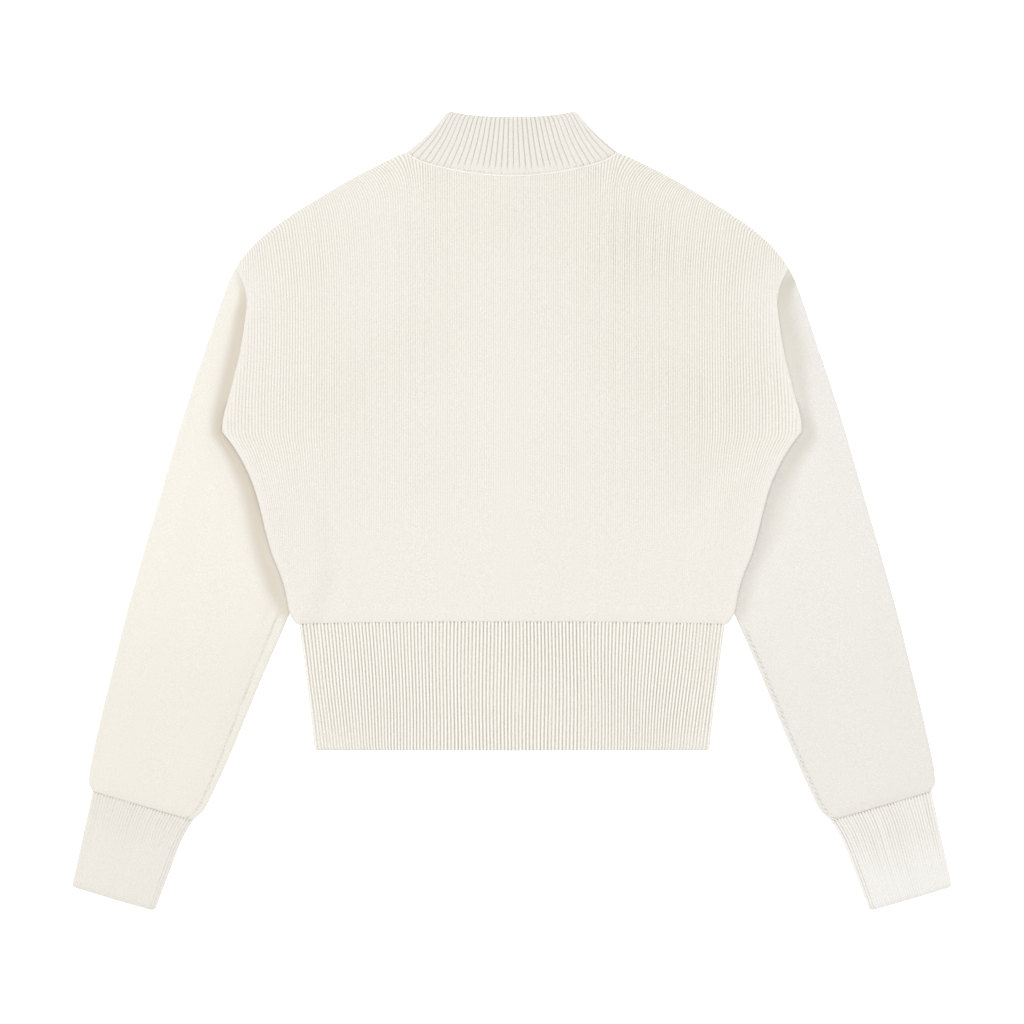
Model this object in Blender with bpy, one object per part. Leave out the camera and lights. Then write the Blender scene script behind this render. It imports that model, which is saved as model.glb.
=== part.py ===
"""Zip-up cardigan in ribbed knit, laid flat on its front with the zip closed.

Tables and sizes are in millimetres: x runs across the garment from its centre line,
y runs up towards the collar, z runs up from the surface that it lies on. The fronts
lie on that surface, the back lies on the fronts, and the sides of the body lie on
the sleeves. Meshes are written in metres.
"""
import math
from collections import namedtuple

import bmesh
import bpy
from mathutils import Matrix, Vector

MM = 0.001

# Cloth
WALL = 2.1              # thickness of the knit
SEAM_GAP = 0.3          # between pieces that are sewn together
RIB_DEPTH = 0.8         # height of a rib over its groove
FOLD_RADIUS = 2.6       # how far a fold rounds off
FOLD_LIP = 0.42         # share of the wall that stands upright at a fold
FOLD_STEPS = [0.0, 0.8, 2.6, 9.0]   # of the columns beside a fold, from the fold

# Heights of the layers
ZIP_ROOM = 2.5          # how far the zip holds the back up along the centre line
ZIP_ROOM_REACH = 50.0
SLIDER_RISE = 1.7       # how far slider and tab hold the cloth off the surface
SLIDER_RISE_REACH = 55.0
SLEEVE_LIFT = 5.2       # how far a sleeve lifts the side of the body
SLEEVE_LIFT_RAMP = 24.0
SLEEVE_LIFT_LEAD = 8.0  # how far before the sleeve the body is fully lifted
SLEEVE_FULLNESS = 0.7   # extra room between the two layers of a sleeve
FULLNESS_START = 10.0   # distance from a fold at which that room starts
FULLNESS_RAMP = 50.0
COLLAR_SAG = 3.7        # how far the back of the collar drops behind the front's edge
COLLAR_SAG_REACH = 34.0

# Ribs across the upper face of each ribbed piece
WAISTBAND_RIBS = 120
COLLAR_RIBS = 33
CUFF_RIBS = 34

# Outline, right half, each row (x, y)
LAID_MIDDLE = 0.6       # y of the middle of the laid-out length, which is the part's origin
FRONT_EDGE = 6.0        # each front's edge beside the zip
NECK_POINT = (89.7, 306.0)
BACK_NECK = [(0.0, 286.0), (14.9, 286.7), (33.6, 288.7), (47.2, 291.0), (59.5, 293.7), (74.8, 297.8),
             (82.5, 301.1), NECK_POINT]
FRONT_NECK = [(FRONT_EDGE, 240.0), (22.0, 242.5), (40.0, 249.5), (57.0, 261.0), (70.5, 275.0),
              (81.0, 289.5), NECK_POINT]
SHOULDER = [(99.5, 302.0), (106.3, 298.8), (126.7, 288.6), (145.4, 278.4), (162.4, 268.2), (179.4, 258.0),
            (194.7, 247.8), (208.3, 237.6), (219.7, 227.4), (228.7, 217.0), (232.6, 211.7), (235.5, 207.0)]
ARMHOLE = [(235.5, 207.0), (235.0, 206.1), (233.8, 204.1), (231.0, 199.0), (227.0, 189.0), (225.6, 176.5),
           (227.0, 163.0), (229.4, 147.5), (232.3, 132.0), (236.0, 116.5), (240.5, 98.5), (243.7, 86.0),
           (245.5, 76.0), (246.1, 68.4)]
SIDE = [(183.2, -93.9), (187.0, -88.8), (189.6, -82.9), (191.7, -71.0), (196.8, -53.1), (203.6, -36.1),
        (208.7, -18.3), (213.4, 1.3), (218.9, 20.8), (227.4, 40.4), (235.9, 54.8), (246.1, 68.4)]

# Sleeve, a row for each section: outer fold (x, y), inner fold (x, y)
SLEEVE = [((235.5, 207.0), (246.1, 68.4)),
          ((240.6, 196.8), (245.6, 67.7)),
          ((248.2, 176.4), (245.0, 66.9)),
          ((257.0, 149.5), (244.3, 66.0)),
          ((268.6, 115.2), (243.0, 64.3)),
          ((280.2, 78.5), (238.5, 58.6)),
          ((290.5, 43.5), (224.0, 43.5)),
          ((300.0, 10.5), (205.0, 26.0)),
          ((308.7, -19.0), (185.5, -2.0)),
          ((318.5, -53.5), (176.0, -46.0)),
          ((328.6, -90.0), (189.0, -85.0)),
          ((337.6, -126.5), (209.6, -133.0)),
          ((347.6, -167.0), (227.6, -176.4)),
          ((355.2, -200.5), (243.0, -213.3)),
          ((359.2, -221.0), (253.4, -236.0)),
          ((359.9, -230.0), (262.5, -253.6)),
          ((356.4, -237.4), (271.5, -262.0))]

ARMHOLE_BOW = 0.6       # how much of the armhole's bow each section of the sleeve keeps of the one before
BOWED_SECTIONS = 8
BLENDED_SECTIONS = 3    # over which the columns turn from the armhole's spacing to their own

# Cuff, a row for each section: outer fold (x, y), inner fold (x, y)
CUFF = [((356.5, -237.7), (271.6, -262.3)),
        ((362.6, -265.6), (280.4, -277.0)),
        ((368.6, -293.0), (290.6, -303.0)),
        ((374.3, -318.8), (304.3, -339.2))]

# Waistband, a row for each section: half width, y
WAISTBAND = [(180.6, -94.2), (174.7, -143.2), (170.6, -176.0), (167.9, -202.7)]

# Collar: its side fold and the two upper edges, each row (x, y)
COLLAR_FOLD = [NECK_POINT, (78.6, 315.0), (70.1, 322.6), (63.0, 330.6), (54.8, 340.4)]
COLLAR_BACK_EDGE = [(0.0, 336.2), (20.0, 336.6), (40.0, 338.2), (54.8, 340.4)]
COLLAR_FRONT_EDGE = [(FRONT_EDGE, 290.0), (20.0, 293.5), (34.0, 304.0), (45.0, 320.0), (54.8, 340.4)]

# Shares of a front layer's width at its columns, from the zip edge to the fold
FRONT_SHARES = [0.0, 0.12, 0.3, 0.5, 0.68, 0.78, 0.84, 0.89, 0.93, 0.965, 0.985, 1.0]

# Limits where a wall's thickness runs out along a slanting fold or round a corner
LEAST_SLANT_SINE = 0.35
LEAST_CORNER_COSINE = 0.5
INSET_REACH = 3.0       # thicknesses over which an inner wall returns to its own place
COLLAR_SLANT = 1.3      # thicknesses that the collar's slanting fold takes up

# Zip
TAPE = {"inner": 3.2, "outer": 16.0, "low": 2.4, "high": 2.9}
CHAIN = {"half_width": 2.9, "low": 1.55, "high": 3.75}
ZIP_TOP = 289.0
ZIP_BOTTOM = -201.5
ZIP_STEPS = [0.0, 180.0, 226.0, 236.0, 246.0, 254.0, 262.0, 269.0, 276.0]   # y of its cross sections
BOX = {"length": 7.0, "low": 1.2, "high": 4.1}
STOP = {"inner": 0.4, "outer": 2.7, "length": 2.4, "low": 1.7, "high": 3.6}
SLIDER_Y = 281.0
CHAIN_OVERLAP = 0.5     # how far the chain runs into the slider, past its middle
SLIDER = {"half_width": 5.3, "half_length": 4.4, "plate": 0.75, "gap": 2.6, "edge": 0.25}
POST = {"half_width": 1.1, "start": 1.2, "end": 3.4}
RIM = {"width": 0.75, "inset": 0.6, "height": 0.45, "proud": 0.02}
BAIL = {"half_width": 1.0, "half_length": 3.4, "wire": 0.55, "leg": 0.9, "drop": 2.05}
SUNK = 0.3              # how far the slider's forms run into its plates
TAB = {"half_width": 3.8, "length": 24.0, "thickness": 1.0, "head": 0.2, "eye_half_width": 1.6,
       "eye_length": 4.4, "bar_radius": 0.42, "bar_inset": 0.1}
TAB_END = [(1.0, 6.0), (0.8, 1.2), (0.45, 0.0)]     # share of its half width, distance from its end
TAB_SHIFT = 0.5         # of the tab's axis from the slider's middle
TAB_DROP = 0.9          # of the tab's axis below the slider's outer plate
BAR_SIDES = 12
BLOCK_EDGE = 0.3
STOP_EDGE = 0.2

Look = namedtuple("Look", "colour roughness metallic")
KNIT = Look((0.93, 0.90, 0.86), 0.85, 0.0)
WOVEN = Look((0.90, 0.87, 0.82), 0.8, 0.0)
METAL = Look((0.78, 0.77, 0.74), 0.3, 1.0)
SMOOTH_ANGLE = 40.0


def smooth(value):
    """A soft step from 0 to 1 as the value goes from 0 to 1."""
    held = min(1.0, max(0.0, value))
    return held * held * (3.0 - 2.0 * held)


def bump(distance, reach):
    """A round hill, 1 in the middle and exactly 0 from the reach on."""
    return max(0.0, 1.0 - (distance / reach) ** 2) ** 2


def height_on(line, x):
    """The y of a line of (x, y) rows, ordered by x, at the given x."""
    for (x0, y0), (x1, y1) in zip(line, line[1:]):
        if x <= x1:
            break
    share = min(1.0, max(0.0, (x - x0) / (x1 - x0)))
    return y0 + share * (y1 - y0)


def along(line, share):
    """The point at a share of a line's length."""
    points = [Vector(point) for point in line]
    lengths = [(b - a).length for a, b in zip(points, points[1:])]
    left = share * sum(lengths)
    for start, end, length in zip(points, points[1:], lengths):
        if left <= length:
            break
        left -= length
    return start.lerp(end, min(1.0, left / length))


def beside(line, distance):
    """The line moved sideways, to the left of its direction."""
    points = [Vector(point) for point in line]
    directions = [(b - a).normalized() for a, b in zip(points, points[1:])]
    moved = []
    for index, point in enumerate(points):
        before = directions[max(0, index - 1)]
        after = directions[min(index, len(directions) - 1)]
        bisector = (before + after).normalized()
        reach = distance / max(LEAST_CORNER_COSINE, bisector.dot(after))
        moved.append(point + Vector((-bisector.y, bisector.x)) * reach)
    return moved


def distance_to(line, point):
    """Distance from a point to a line of points."""
    nearest = math.inf
    for start, end in zip(line, line[1:]):
        start = Vector(start)
        run = Vector(end) - start
        share = min(1.0, max(0.0, (point - start).dot(run) / run.length_squared))
        nearest = min(nearest, (point - start - run * share).length)
    return nearest


SHOULDER_FOLD = [NECK_POINT] + SHOULDER
SLEEVE_INNER = [row[1] for row in SLEEVE]


def inner_fold_x(y):
    """The x of the sleeve's inner fold at a y below the underarm, or None beyond its ends."""
    for (x0, y0), (x1, y1) in zip(SLEEVE_INNER, SLEEVE_INNER[1:]):
        if y1 <= y <= y0:
            return x0 + (x1 - x0) * (y0 - y) / (y0 - y1)
    return None


def side_of_sleeve(point):
    """Distance from the sleeve's inner fold, positive where the sleeve lies below."""
    fold_x = inner_fold_x(point.y)
    distance = distance_to(SLEEVE_INNER, point)
    return distance if fold_x is not None and point.x > fold_x else -distance


def slider_rise(x, y):
    """How far the slider and its tab hold everything off the surface."""
    return SLIDER_RISE * bump(math.hypot(x, y - SLIDER_Y), SLIDER_RISE_REACH)


def body_lift(x, y):
    """How far the underside of the body lies above the surface."""
    beyond = side_of_sleeve(Vector((abs(x), y)))
    return slider_rise(x, y) + SLEEVE_LIFT * smooth(1.0 + (beyond + SLEEVE_LIFT_LEAD) / SLEEVE_LIFT_RAMP)


def layer_room(x):
    """The room between the fronts and the back."""
    return SEAM_GAP + ZIP_ROOM * math.exp(-(x / ZIP_ROOM_REACH) ** 2)


def rounding(distance):
    """Share of the wall's thickness at a distance inside a fold."""
    short = 1.0 - min(1.0, distance / FOLD_RADIUS)
    return FOLD_LIP + (1.0 - FOLD_LIP) * math.sqrt(1.0 - short * short)


def finish(name, bm, look):
    """Make a named object of a closed mesh, with its own material."""
    bmesh.ops.recalc_face_normals(bm, faces=bm.faces)
    mesh = bpy.data.meshes.new(name)
    bm.to_mesh(mesh)
    bm.free()
    mesh.shade_smooth()
    mesh.set_sharp_from_angle(angle=math.radians(SMOOTH_ANGLE))
    material = bpy.data.materials.new(name)
    material.use_nodes = True
    shader = material.node_tree.nodes["Principled BSDF"]
    shader.inputs["Base Color"].default_value = (*look.colour, 1.0)
    shader.inputs["Roughness"].default_value = look.roughness
    shader.inputs["Metallic"].default_value = look.metallic
    mesh.materials.append(material)
    obj = bpy.data.objects.new(name, mesh)
    bpy.context.scene.collection.objects.link(obj)
    return obj


def placed(x, y, z):
    """A point of the garment in metres, measured from the part's origin."""
    return Vector((x, y - LAID_MIDDLE, z)) * MM


def split(bm, quad, forward):
    """Two triangles for a quad, cut along the same diagonal in every layer of cloth."""
    a, b, c, d = quad
    halves = ((a, b, c), (a, c, d)) if forward else ((a, b, d), (b, c, d))
    for corners in halves:
        bm.faces.new(corners)


def skin(bm, rows, face, side):
    """The vertices of a wall's outer (0) or inner (1) face, row by row."""
    return [[bm.verts.new(placed(side * pair[face][0], pair[face][1], pair[face][2])) for pair in row]
            for row in rows]


def wall(name, rows, closed, mirrored=False):
    """A wall of cloth through rows of (outer, inner) points, each (x, y, z)."""
    bm = bmesh.new()
    side = -1.0 if mirrored else 1.0
    outer = skin(bm, rows, 0, side)
    inner = skin(bm, rows, 1, side)
    count = len(rows[0])
    spans = [(column, (column + 1) % count) for column in range(count if closed else count - 1)]
    for row in range(len(rows) - 1):
        for here, there in spans:
            outwards = abs(rows[row][here][0][0]) <= abs(rows[row][there][0][0])
            for grid in (outer, inner):
                quad = (grid[row][here], grid[row][there], grid[row + 1][there], grid[row + 1][here])
                split(bm, quad, outwards)
    for here, there in spans:
        bm.faces.new((outer[0][there], outer[0][here], inner[0][here], inner[0][there]))
        bm.faces.new((outer[-1][here], outer[-1][there], inner[-1][there], inner[-1][here]))
    if not closed:
        for row in range(len(rows) - 1):
            bm.faces.new((outer[row][0], outer[row + 1][0], inner[row + 1][0], inner[row][0]))
            bm.faces.new((outer[row + 1][-1], outer[row][-1], inner[row][-1], inner[row + 1][-1]))
    finish(name, bm, KNIT)


def half_panel(neck, centre):
    """Rows of (x, y) points of half a body panel, from its centre edge to its side."""
    half_gap = SEAM_GAP / 2
    top = beside(neck, -half_gap) + [Vector(point) for point in SHOULDER]
    top[0].x = centre
    tip = top[-1].x
    shares = [point.x / tip for point in top]
    underarm = ARMHOLE[-1][1]
    hem = SIDE[0][1]
    rows = []
    for edge_x, edge_y in SIDE:
        y = max(edge_y, hem + half_gap)
        rows.append([Vector((edge_x * share, y)) for share in shares])
    for edge_x, edge_y in ARMHOLE[-2::-1]:
        climbed = (edge_y - underarm) / (ARMHOLE[0][1] - underarm)
        inside = edge_x - half_gap
        rows.append([Vector((inside * share, underarm + climbed * (point.y - underarm)))
                     for share, point in zip(shares, top)])
    for row in rows:
        row[0].x = centre
    return rows


def body_rounding(point):
    """Share of the wall at a point of a body panel, which folds at side and shoulder."""
    near = Vector((abs(point.x), point.y))
    return rounding(min(distance_to(SIDE, near), distance_to(SHOULDER_FOLD, near)))


def back_pair(point):
    """Outer and inner point of the back."""
    inside = WALL + layer_room(point.x) + body_lift(point.x, point.y)
    return (point.x, point.y, inside + WALL * body_rounding(point)), (point.x, point.y, inside)


def front_pair(point):
    """Outer and inner point of a front, whose outer face lies down."""
    inside = WALL + body_lift(point.x, point.y)
    return (point.x, point.y, inside - WALL * body_rounding(point)), (point.x, point.y, inside)


def back_panel():
    """The back, in one piece."""
    rows = []
    for half in half_panel(BACK_NECK, 0.0):
        left = [Vector((-point.x, point.y)) for point in half[:0:-1]]
        rows.append([back_pair(point) for point in left + half])
    wall("back_panel", rows, closed=False)


def fronts():
    """The two fronts, one on each side of the zip."""
    rows = [[front_pair(point) for point in half] for half in half_panel(FRONT_NECK, FRONT_EDGE)]
    wall("front_right", rows, closed=False)
    wall("front_left", rows, closed=False, mirrored=True)


def fold_slant(fold, index, across):
    """How far along a section the cloth's thickness reaches, over the thickness itself."""
    run = Vector(fold[min(index + 1, len(fold) - 1)]) - Vector(fold[max(index - 1, 0)])
    sine = abs(run.normalized().cross(across.normalized()))
    return 1.0 / max(LEAST_SLANT_SINE, sine)


def inset(share, reach):
    """Move a share of a section inwards, most at the fold, to make the inner wall."""
    return share + reach * max(0.0, 1.0 - share / (INSET_REACH * reach))


def inset_both(share, start, end):
    """Move a share inwards from the folds at both ends of a section."""
    moved = inset(share, start)
    return 1.0 - inset(1.0 - moved, end) if share > 0.5 else moved


def tube_rows(sections, shares, ribs, fullness):
    """Rows of a flattened tube, given a function for each section and its column shares."""
    outer_fold = [section(0.0) for section in sections]
    inner_fold = [section(1.0) for section in sections]
    rows = []
    for index, (section, columns) in enumerate(zip(sections, shares)):
        across = section(1.0) - section(0.0)
        start = WALL * fold_slant(outer_fold, index, across) / across.length
        end = WALL * fold_slant(inner_fold, index, across) / across.length
        upper = []
        lower = []
        for column, share in enumerate(columns):
            outside = section(share)
            inside = section(inset_both(share, start, end))
            fold_distance = min(distance_to(outer_fold, outside), distance_to(inner_fold, outside))
            room = SEAM_GAP + fullness * smooth((fold_distance - FULLNESS_START) / FULLNESS_RAMP)
            thick = WALL * rounding(fold_distance)
            relief = RIB_DEPTH * (column % 2) if ribs else 0.0
            upper.append(((*outside, WALL + room + thick + relief), (*inside, WALL + room)))
            lower.append(((*outside, WALL - thick), (*inside, WALL)))
        rows.append(upper + lower[::-1])
    return rows


def sleeve_section(index):
    """The line across one section of a sleeve, bowed near the armhole as the armhole is."""
    outer = Vector(SLEEVE[index][0])
    inner = Vector(SLEEVE[index][1])
    armhole = beside(ARMHOLE, SEAM_GAP / 2)
    if index == 0:
        outer, inner = armhole[0], armhole[-1]
    bow = ARMHOLE_BOW ** index if index < BOWED_SECTIONS else 0.0

    def point(share):
        """The section's point at a share of its width."""
        straight = armhole[0].lerp(armhole[-1], share)
        return outer.lerp(inner, share) + (along(armhole, share) - straight) * bow

    return point


def armhole_shares():
    """Shares of the armhole's length at its rows."""
    points = beside(ARMHOLE, SEAM_GAP / 2)
    lengths = [(b - a).length for a, b in zip(points, points[1:])]
    return [sum(lengths[:index]) / sum(lengths) for index in range(len(points))]


def regular_shares(width, columns):
    """Shares of a section's width that stand close beside its folds and evenly between."""
    near = [step / width for step in FOLD_STEPS]
    middle = columns - 2 * len(near)
    even = [near[-1] + (1.0 - 2 * near[-1]) * (step + 1) / (middle + 1) for step in range(middle)]
    return near + even + [1.0 - share for share in near[::-1]]


def sleeves():
    """The two sleeves, each a flattened tube under the side of the body."""
    sections = [sleeve_section(index) for index in range(len(SLEEVE))]
    first = armhole_shares()
    rows_of_shares = []
    for index, section in enumerate(sections):
        regular = regular_shares((section(1.0) - section(0.0)).length, len(first))
        blend = min(1.0, index / BLENDED_SECTIONS)
        rows_of_shares.append([a + (b - a) * blend for a, b in zip(first, regular)])
    rows = tube_rows(sections, rows_of_shares, False, SLEEVE_FULLNESS)
    wall("sleeve_right", rows, closed=True)
    wall("sleeve_left", rows, closed=True, mirrored=True)


def straight_section(start, end):
    """A straight line across a section."""
    start = Vector(start)
    end = Vector(end)
    return lambda share: start.lerp(end, share)


def rib_shares(ribs):
    """Shares of a section at each groove and ridge."""
    return [column / (2 * ribs) for column in range(2 * ribs + 1)]


def cuffs():
    """The two ribbed cuffs."""
    sections = [straight_section(outer, inner) for outer, inner in CUFF]
    rows = tube_rows(sections, [rib_shares(CUFF_RIBS)] * len(CUFF), True, 0.0)
    wall("cuff_right", rows, closed=True)
    wall("cuff_left", rows, closed=True, mirrored=True)


def band_row(upper, lower, fold, upper_slant, lower_slant, ribs, heights):
    """One row of a strip that runs from zip edge to zip edge round the back.

    upper goes from the right fold to the left one, lower from the right front edge to
    the right fold, and heights gives the inner height of either layer at a point.
    """
    front = []
    for share in FRONT_SHARES:
        outside = lower(share)
        inside = lower(1.0 - inset(1.0 - share, lower_slant))
        inner_z = heights(inside, False)
        outer_z = heights(outside, False) - WALL * rounding(distance_to(fold, outside))
        front.append(((*outside, outer_z), (*inside, inner_z)))
    back = []
    for column, share in enumerate(rib_shares(ribs)):
        outside = upper(share)
        inside = upper(inset_both(share, upper_slant, upper_slant))
        thick = WALL * rounding(distance_to(fold, Vector((abs(outside.x), outside.y))))
        relief = RIB_DEPTH * (column % 2)
        back.append(((*outside, heights(outside, True) + thick + relief), (*inside, heights(inside, True))))
    mirrored = [tuple((-x, y, z) for x, y, z in pair) for pair in front]
    return front + back + mirrored[::-1]


def waistband():
    """The ribbed waistband."""
    def heights(point, is_back):
        """The inner height of the back or the front layer at a point."""
        return WALL + body_lift(point.x, point.y) + (layer_room(point.x) if is_back else 0.0)

    rows = []
    for half_width, y in WAISTBAND:
        upper = straight_section((half_width, y), (-half_width, y))
        lower = straight_section((FRONT_EDGE, y), (half_width, y))
        slants = (WALL / (2 * half_width), WALL / (half_width - FRONT_EDGE))
        rows.append(band_row(upper, lower, WAISTBAND, *slants, WAISTBAND_RIBS, heights))
    wall("waistband", rows, closed=False)


def collar_height(point, is_back):
    """Inner height of the collar's front or back layer at a point."""
    base = WALL + slider_rise(point.x, point.y)
    if not is_back:
        return base
    behind = point.y - height_on(COLLAR_FRONT_EDGE, abs(point.x))
    return base + layer_room(point.x) - COLLAR_SAG * smooth(behind / COLLAR_SAG_REACH)


def collar():
    """The ribbed stand collar."""
    half_gap = SEAM_GAP / 2
    back_seam = beside(BACK_NECK, half_gap)
    front_seam = beside(FRONT_NECK, half_gap)
    front_seam[0].x = FRONT_EDGE
    back_seam[0].x = 0.0
    neck = (back_seam[-1] + front_seam[-1]) / 2
    neck.y = max(back_seam[-1].y, front_seam[-1].y) + half_gap
    back_seam[-1] = neck
    front_seam[-1] = neck
    fold = [neck] + [Vector(point) for point in COLLAR_FOLD[1:]]
    rows = []
    for edge in fold:
        climbed = (edge.y - fold[0].y) / (fold[-1].y - fold[0].y)

        def upper(share, edge=edge, climbed=climbed):
            """A point of the back layer, from the right fold to the left one."""
            x = edge.x * (1.0 - 2.0 * share)
            part = abs(1.0 - 2.0 * share)
            low = height_on(back_seam, neck.x * part)
            high = height_on(COLLAR_BACK_EDGE, COLLAR_BACK_EDGE[-1][0] * part)
            return Vector((x, low + climbed * (high - low)))

        def lower(share, edge=edge, climbed=climbed):
            """A point of the front layer, from the zip edge to the right fold."""
            low = height_on(front_seam, FRONT_EDGE + (neck.x - FRONT_EDGE) * share)
            top_x = FRONT_EDGE + (COLLAR_FRONT_EDGE[-1][0] - FRONT_EDGE) * share
            high = height_on(COLLAR_FRONT_EDGE, top_x)
            return Vector((FRONT_EDGE + (edge.x - FRONT_EDGE) * share, low + climbed * (high - low)))

        slants = (COLLAR_SLANT * WALL / (2 * edge.x), COLLAR_SLANT * WALL / (edge.x - FRONT_EDGE))
        rows.append(band_row(upper, lower, fold, *slants, COLLAR_RIBS, collar_height))
    wall("collar", rows, closed=False)


def strip(name, left, right, low, high, start, end, look):
    """A flat strip along the zip that follows the rise over the slider."""
    bm = bmesh.new()
    loops = []
    for y in [start, *(step for step in ZIP_STEPS if start < step < end), end]:
        rise = slider_rise(max(abs(left), abs(right)), y)
        corners = ((left, low), (right, low), (right, high), (left, high))
        loops.append([bm.verts.new(placed(x, y, z + rise)) for x, z in corners])
    for before, after in zip(loops, loops[1:]):
        for here in range(4):
            there = (here + 1) % 4
            bm.faces.new((before[here], before[there], after[there], after[here]))
    bm.faces.new(loops[0])
    bm.faces.new(loops[-1])
    finish(name, bm, look)


def block(name, low, high, edge=0.0):
    """A small metal block between two corners, its edges cut off by the size given."""
    bm = bmesh.new()
    bmesh.ops.create_cube(bm, size=1.0)
    low = placed(*low)
    high = placed(*high)
    size = high - low
    for vert in bm.verts:
        vert.co = Vector((vert.co[axis] + 0.5) * size[axis] + low[axis] for axis in range(3))
    if edge:
        bmesh.ops.bevel(bm, geom=bm.edges[:], offset=edge * MM, segments=1, affect="EDGES")
    return finish(name, bm, METAL)


def join(target, parts):
    """Union helper solids into a target object."""
    for part in parts:
        part.hide_render = True
        part.display_type = "WIRE"
        union = target.modifiers.new(part.name, "BOOLEAN")
        union.operation = "UNION"
        union.object = part


def zip_tapes_and_chain():
    """The two tapes, the closed chain, the box at the bottom and the stops at the top."""
    for name, left, right in (("zip_tape_left", -TAPE["outer"], -TAPE["inner"]),
                              ("zip_tape_right", TAPE["inner"], TAPE["outer"])):
        strip(name, left, right, TAPE["low"], TAPE["high"], ZIP_BOTTOM, ZIP_TOP, WOVEN)
    chain_start = ZIP_BOTTOM + BOX["length"] + SEAM_GAP
    half = CHAIN["half_width"]
    chain_end = SLIDER_Y + CHAIN_OVERLAP
    strip("zip_chain", -half, half, CHAIN["low"], CHAIN["high"], chain_start, chain_end, METAL)
    narrow = TAPE["inner"] - SEAM_GAP
    box_top = ZIP_BOTTOM + BOX["length"]
    block("zip_box", (-narrow, ZIP_BOTTOM, BOX["low"]), (narrow, box_top, BOX["high"]), BLOCK_EDGE)
    rise = slider_rise(0.0, ZIP_TOP)
    for name, left, right in (("zip_stop_left", -STOP["outer"], -STOP["inner"]),
                              ("zip_stop_right", STOP["inner"], STOP["outer"])):
        block(name, (left, ZIP_TOP - STOP["length"], STOP["low"] + rise),
              (right, ZIP_TOP, STOP["high"] + rise), STOP_EDGE)


def slider_faces():
    """The z of the slider's outer plate, chain space and inner plate faces, low to high."""
    middle = (CHAIN["low"] + CHAIN["high"]) / 2 + SLIDER_RISE
    half = SLIDER["gap"] / 2
    return middle - half - SLIDER["plate"], middle - half, middle + half, middle + half + SLIDER["plate"]


def slider_rims(outer_low, outer_high, inner_low, inner_high):
    """The rims that stand along both edges of each plate, towards the chain."""
    foot = SLIDER_Y - SLIDER["half_length"] + RIM["inset"]
    head = SLIDER_Y + SLIDER["half_length"] - RIM["inset"]
    spans = ((outer_low + SUNK, outer_high + RIM["height"]), (inner_low - RIM["height"], inner_high - SUNK))
    rims = []
    for side in (-1.0, 1.0):
        edges = sorted((side * SLIDER["half_width"], side * (SLIDER["half_width"] - RIM["width"])))
        left, right = (edge + RIM["proud"] * side for edge in edges)
        for low, high in spans:
            rims.append(block(f"slider_rim_{len(rims)}", (left, foot, low), (right, head, high)))
    return rims


def bail(plate_low):
    """The bail below the outer plate: a flat bar and its two feet."""
    half = BAIL["half_width"]
    reach = BAIL["half_length"]
    low = plate_low - BAIL["drop"]
    high = low + BAIL["wire"]
    parts = [block("slider_bail", (-half, SLIDER_Y - reach, low), (half, SLIDER_Y + reach, high))]
    for name, start in (("slider_bail_foot", -reach), ("slider_bail_head", reach - BAIL["leg"])):
        parts.append(block(name, (-half, SLIDER_Y + start, low + BAIL["wire"] / 2),
                           (half, SLIDER_Y + start + BAIL["leg"], plate_low + SUNK)))
    return parts


def slider():
    """The slider: two plates, the post between them, side rims, and the bail for the tab."""
    outer_low, outer_high, inner_low, inner_high = slider_faces()
    wide = SLIDER["half_width"]
    foot = SLIDER_Y - SLIDER["half_length"]
    head = SLIDER_Y + SLIDER["half_length"]
    body = block("zip_slider", (-wide, foot, outer_low), (wide, head, outer_high), SLIDER["edge"])
    plate = block("slider_inner_plate", (-wide, foot, inner_low), (wide, head, inner_high), SLIDER["edge"])
    post = block("slider_post", (-POST["half_width"], SLIDER_Y + POST["start"], outer_low + SUNK),
                 (POST["half_width"], SLIDER_Y + POST["end"], inner_high - SUNK))
    join(body, [plate, post, *slider_rims(*slider_faces()), *bail(outer_low)])


def tab_axis():
    """Where the pull tab turns: a point (x, y, z)."""
    return 0.0, SLIDER_Y + TAB_SHIFT, slider_faces()[0] - TAB_DROP


def pull_tab():
    """The pull tab, hung on the slider's bail by a round bar, lying down the chain."""
    axis = placed(*tab_axis())
    _, axis_y, axis_z = tab_axis()
    half = TAB["half_width"]
    thick = TAB["thickness"] / 2
    head = axis_y + TAB["head"]
    end = axis_y - TAB["length"]
    eye = TAB["eye_half_width"]
    eye_foot = axis_y - TAB["eye_length"]
    left = [(-half * share, end + distance) for share, distance in TAB_END]
    right = [(half * share, end + distance) for share, distance in TAB_END[::-1]]
    fork = [(eye, head), (eye, eye_foot), (-eye, eye_foot), (-eye, head)]
    outline = [(-half, head), *left, *right, (half, head), *fork]
    bm = bmesh.new()
    layers = [[bm.verts.new(placed(x, y, z) - axis) for x, y in outline]
              for z in (axis_z - thick, axis_z + thick)]
    for layer in layers:
        bm.faces.new(layer)
    for here in range(len(outline)):
        there = (here + 1) % len(outline)
        bm.faces.new((layers[0][here], layers[0][there], layers[1][there], layers[1][here]))
    bmesh.ops.triangulate(bm, faces=[face for face in bm.faces if len(face.verts) > 4])
    tab = finish("zip_pull", bm, METAL)
    tab.location = axis
    bar = bmesh.new()
    bmesh.ops.create_cone(bar, cap_ends=True, segments=BAR_SIDES, radius1=TAB["bar_radius"] * MM,
                          radius2=TAB["bar_radius"] * MM, depth=2 * (half - TAB["bar_inset"]) * MM)
    bmesh.ops.rotate(bar, verts=bar.verts, matrix=Matrix.Rotation(math.pi / 2, 3, "Y"))
    rod = finish("pull_bar", bar, METAL)
    rod.location = axis
    join(tab, [rod])


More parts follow.
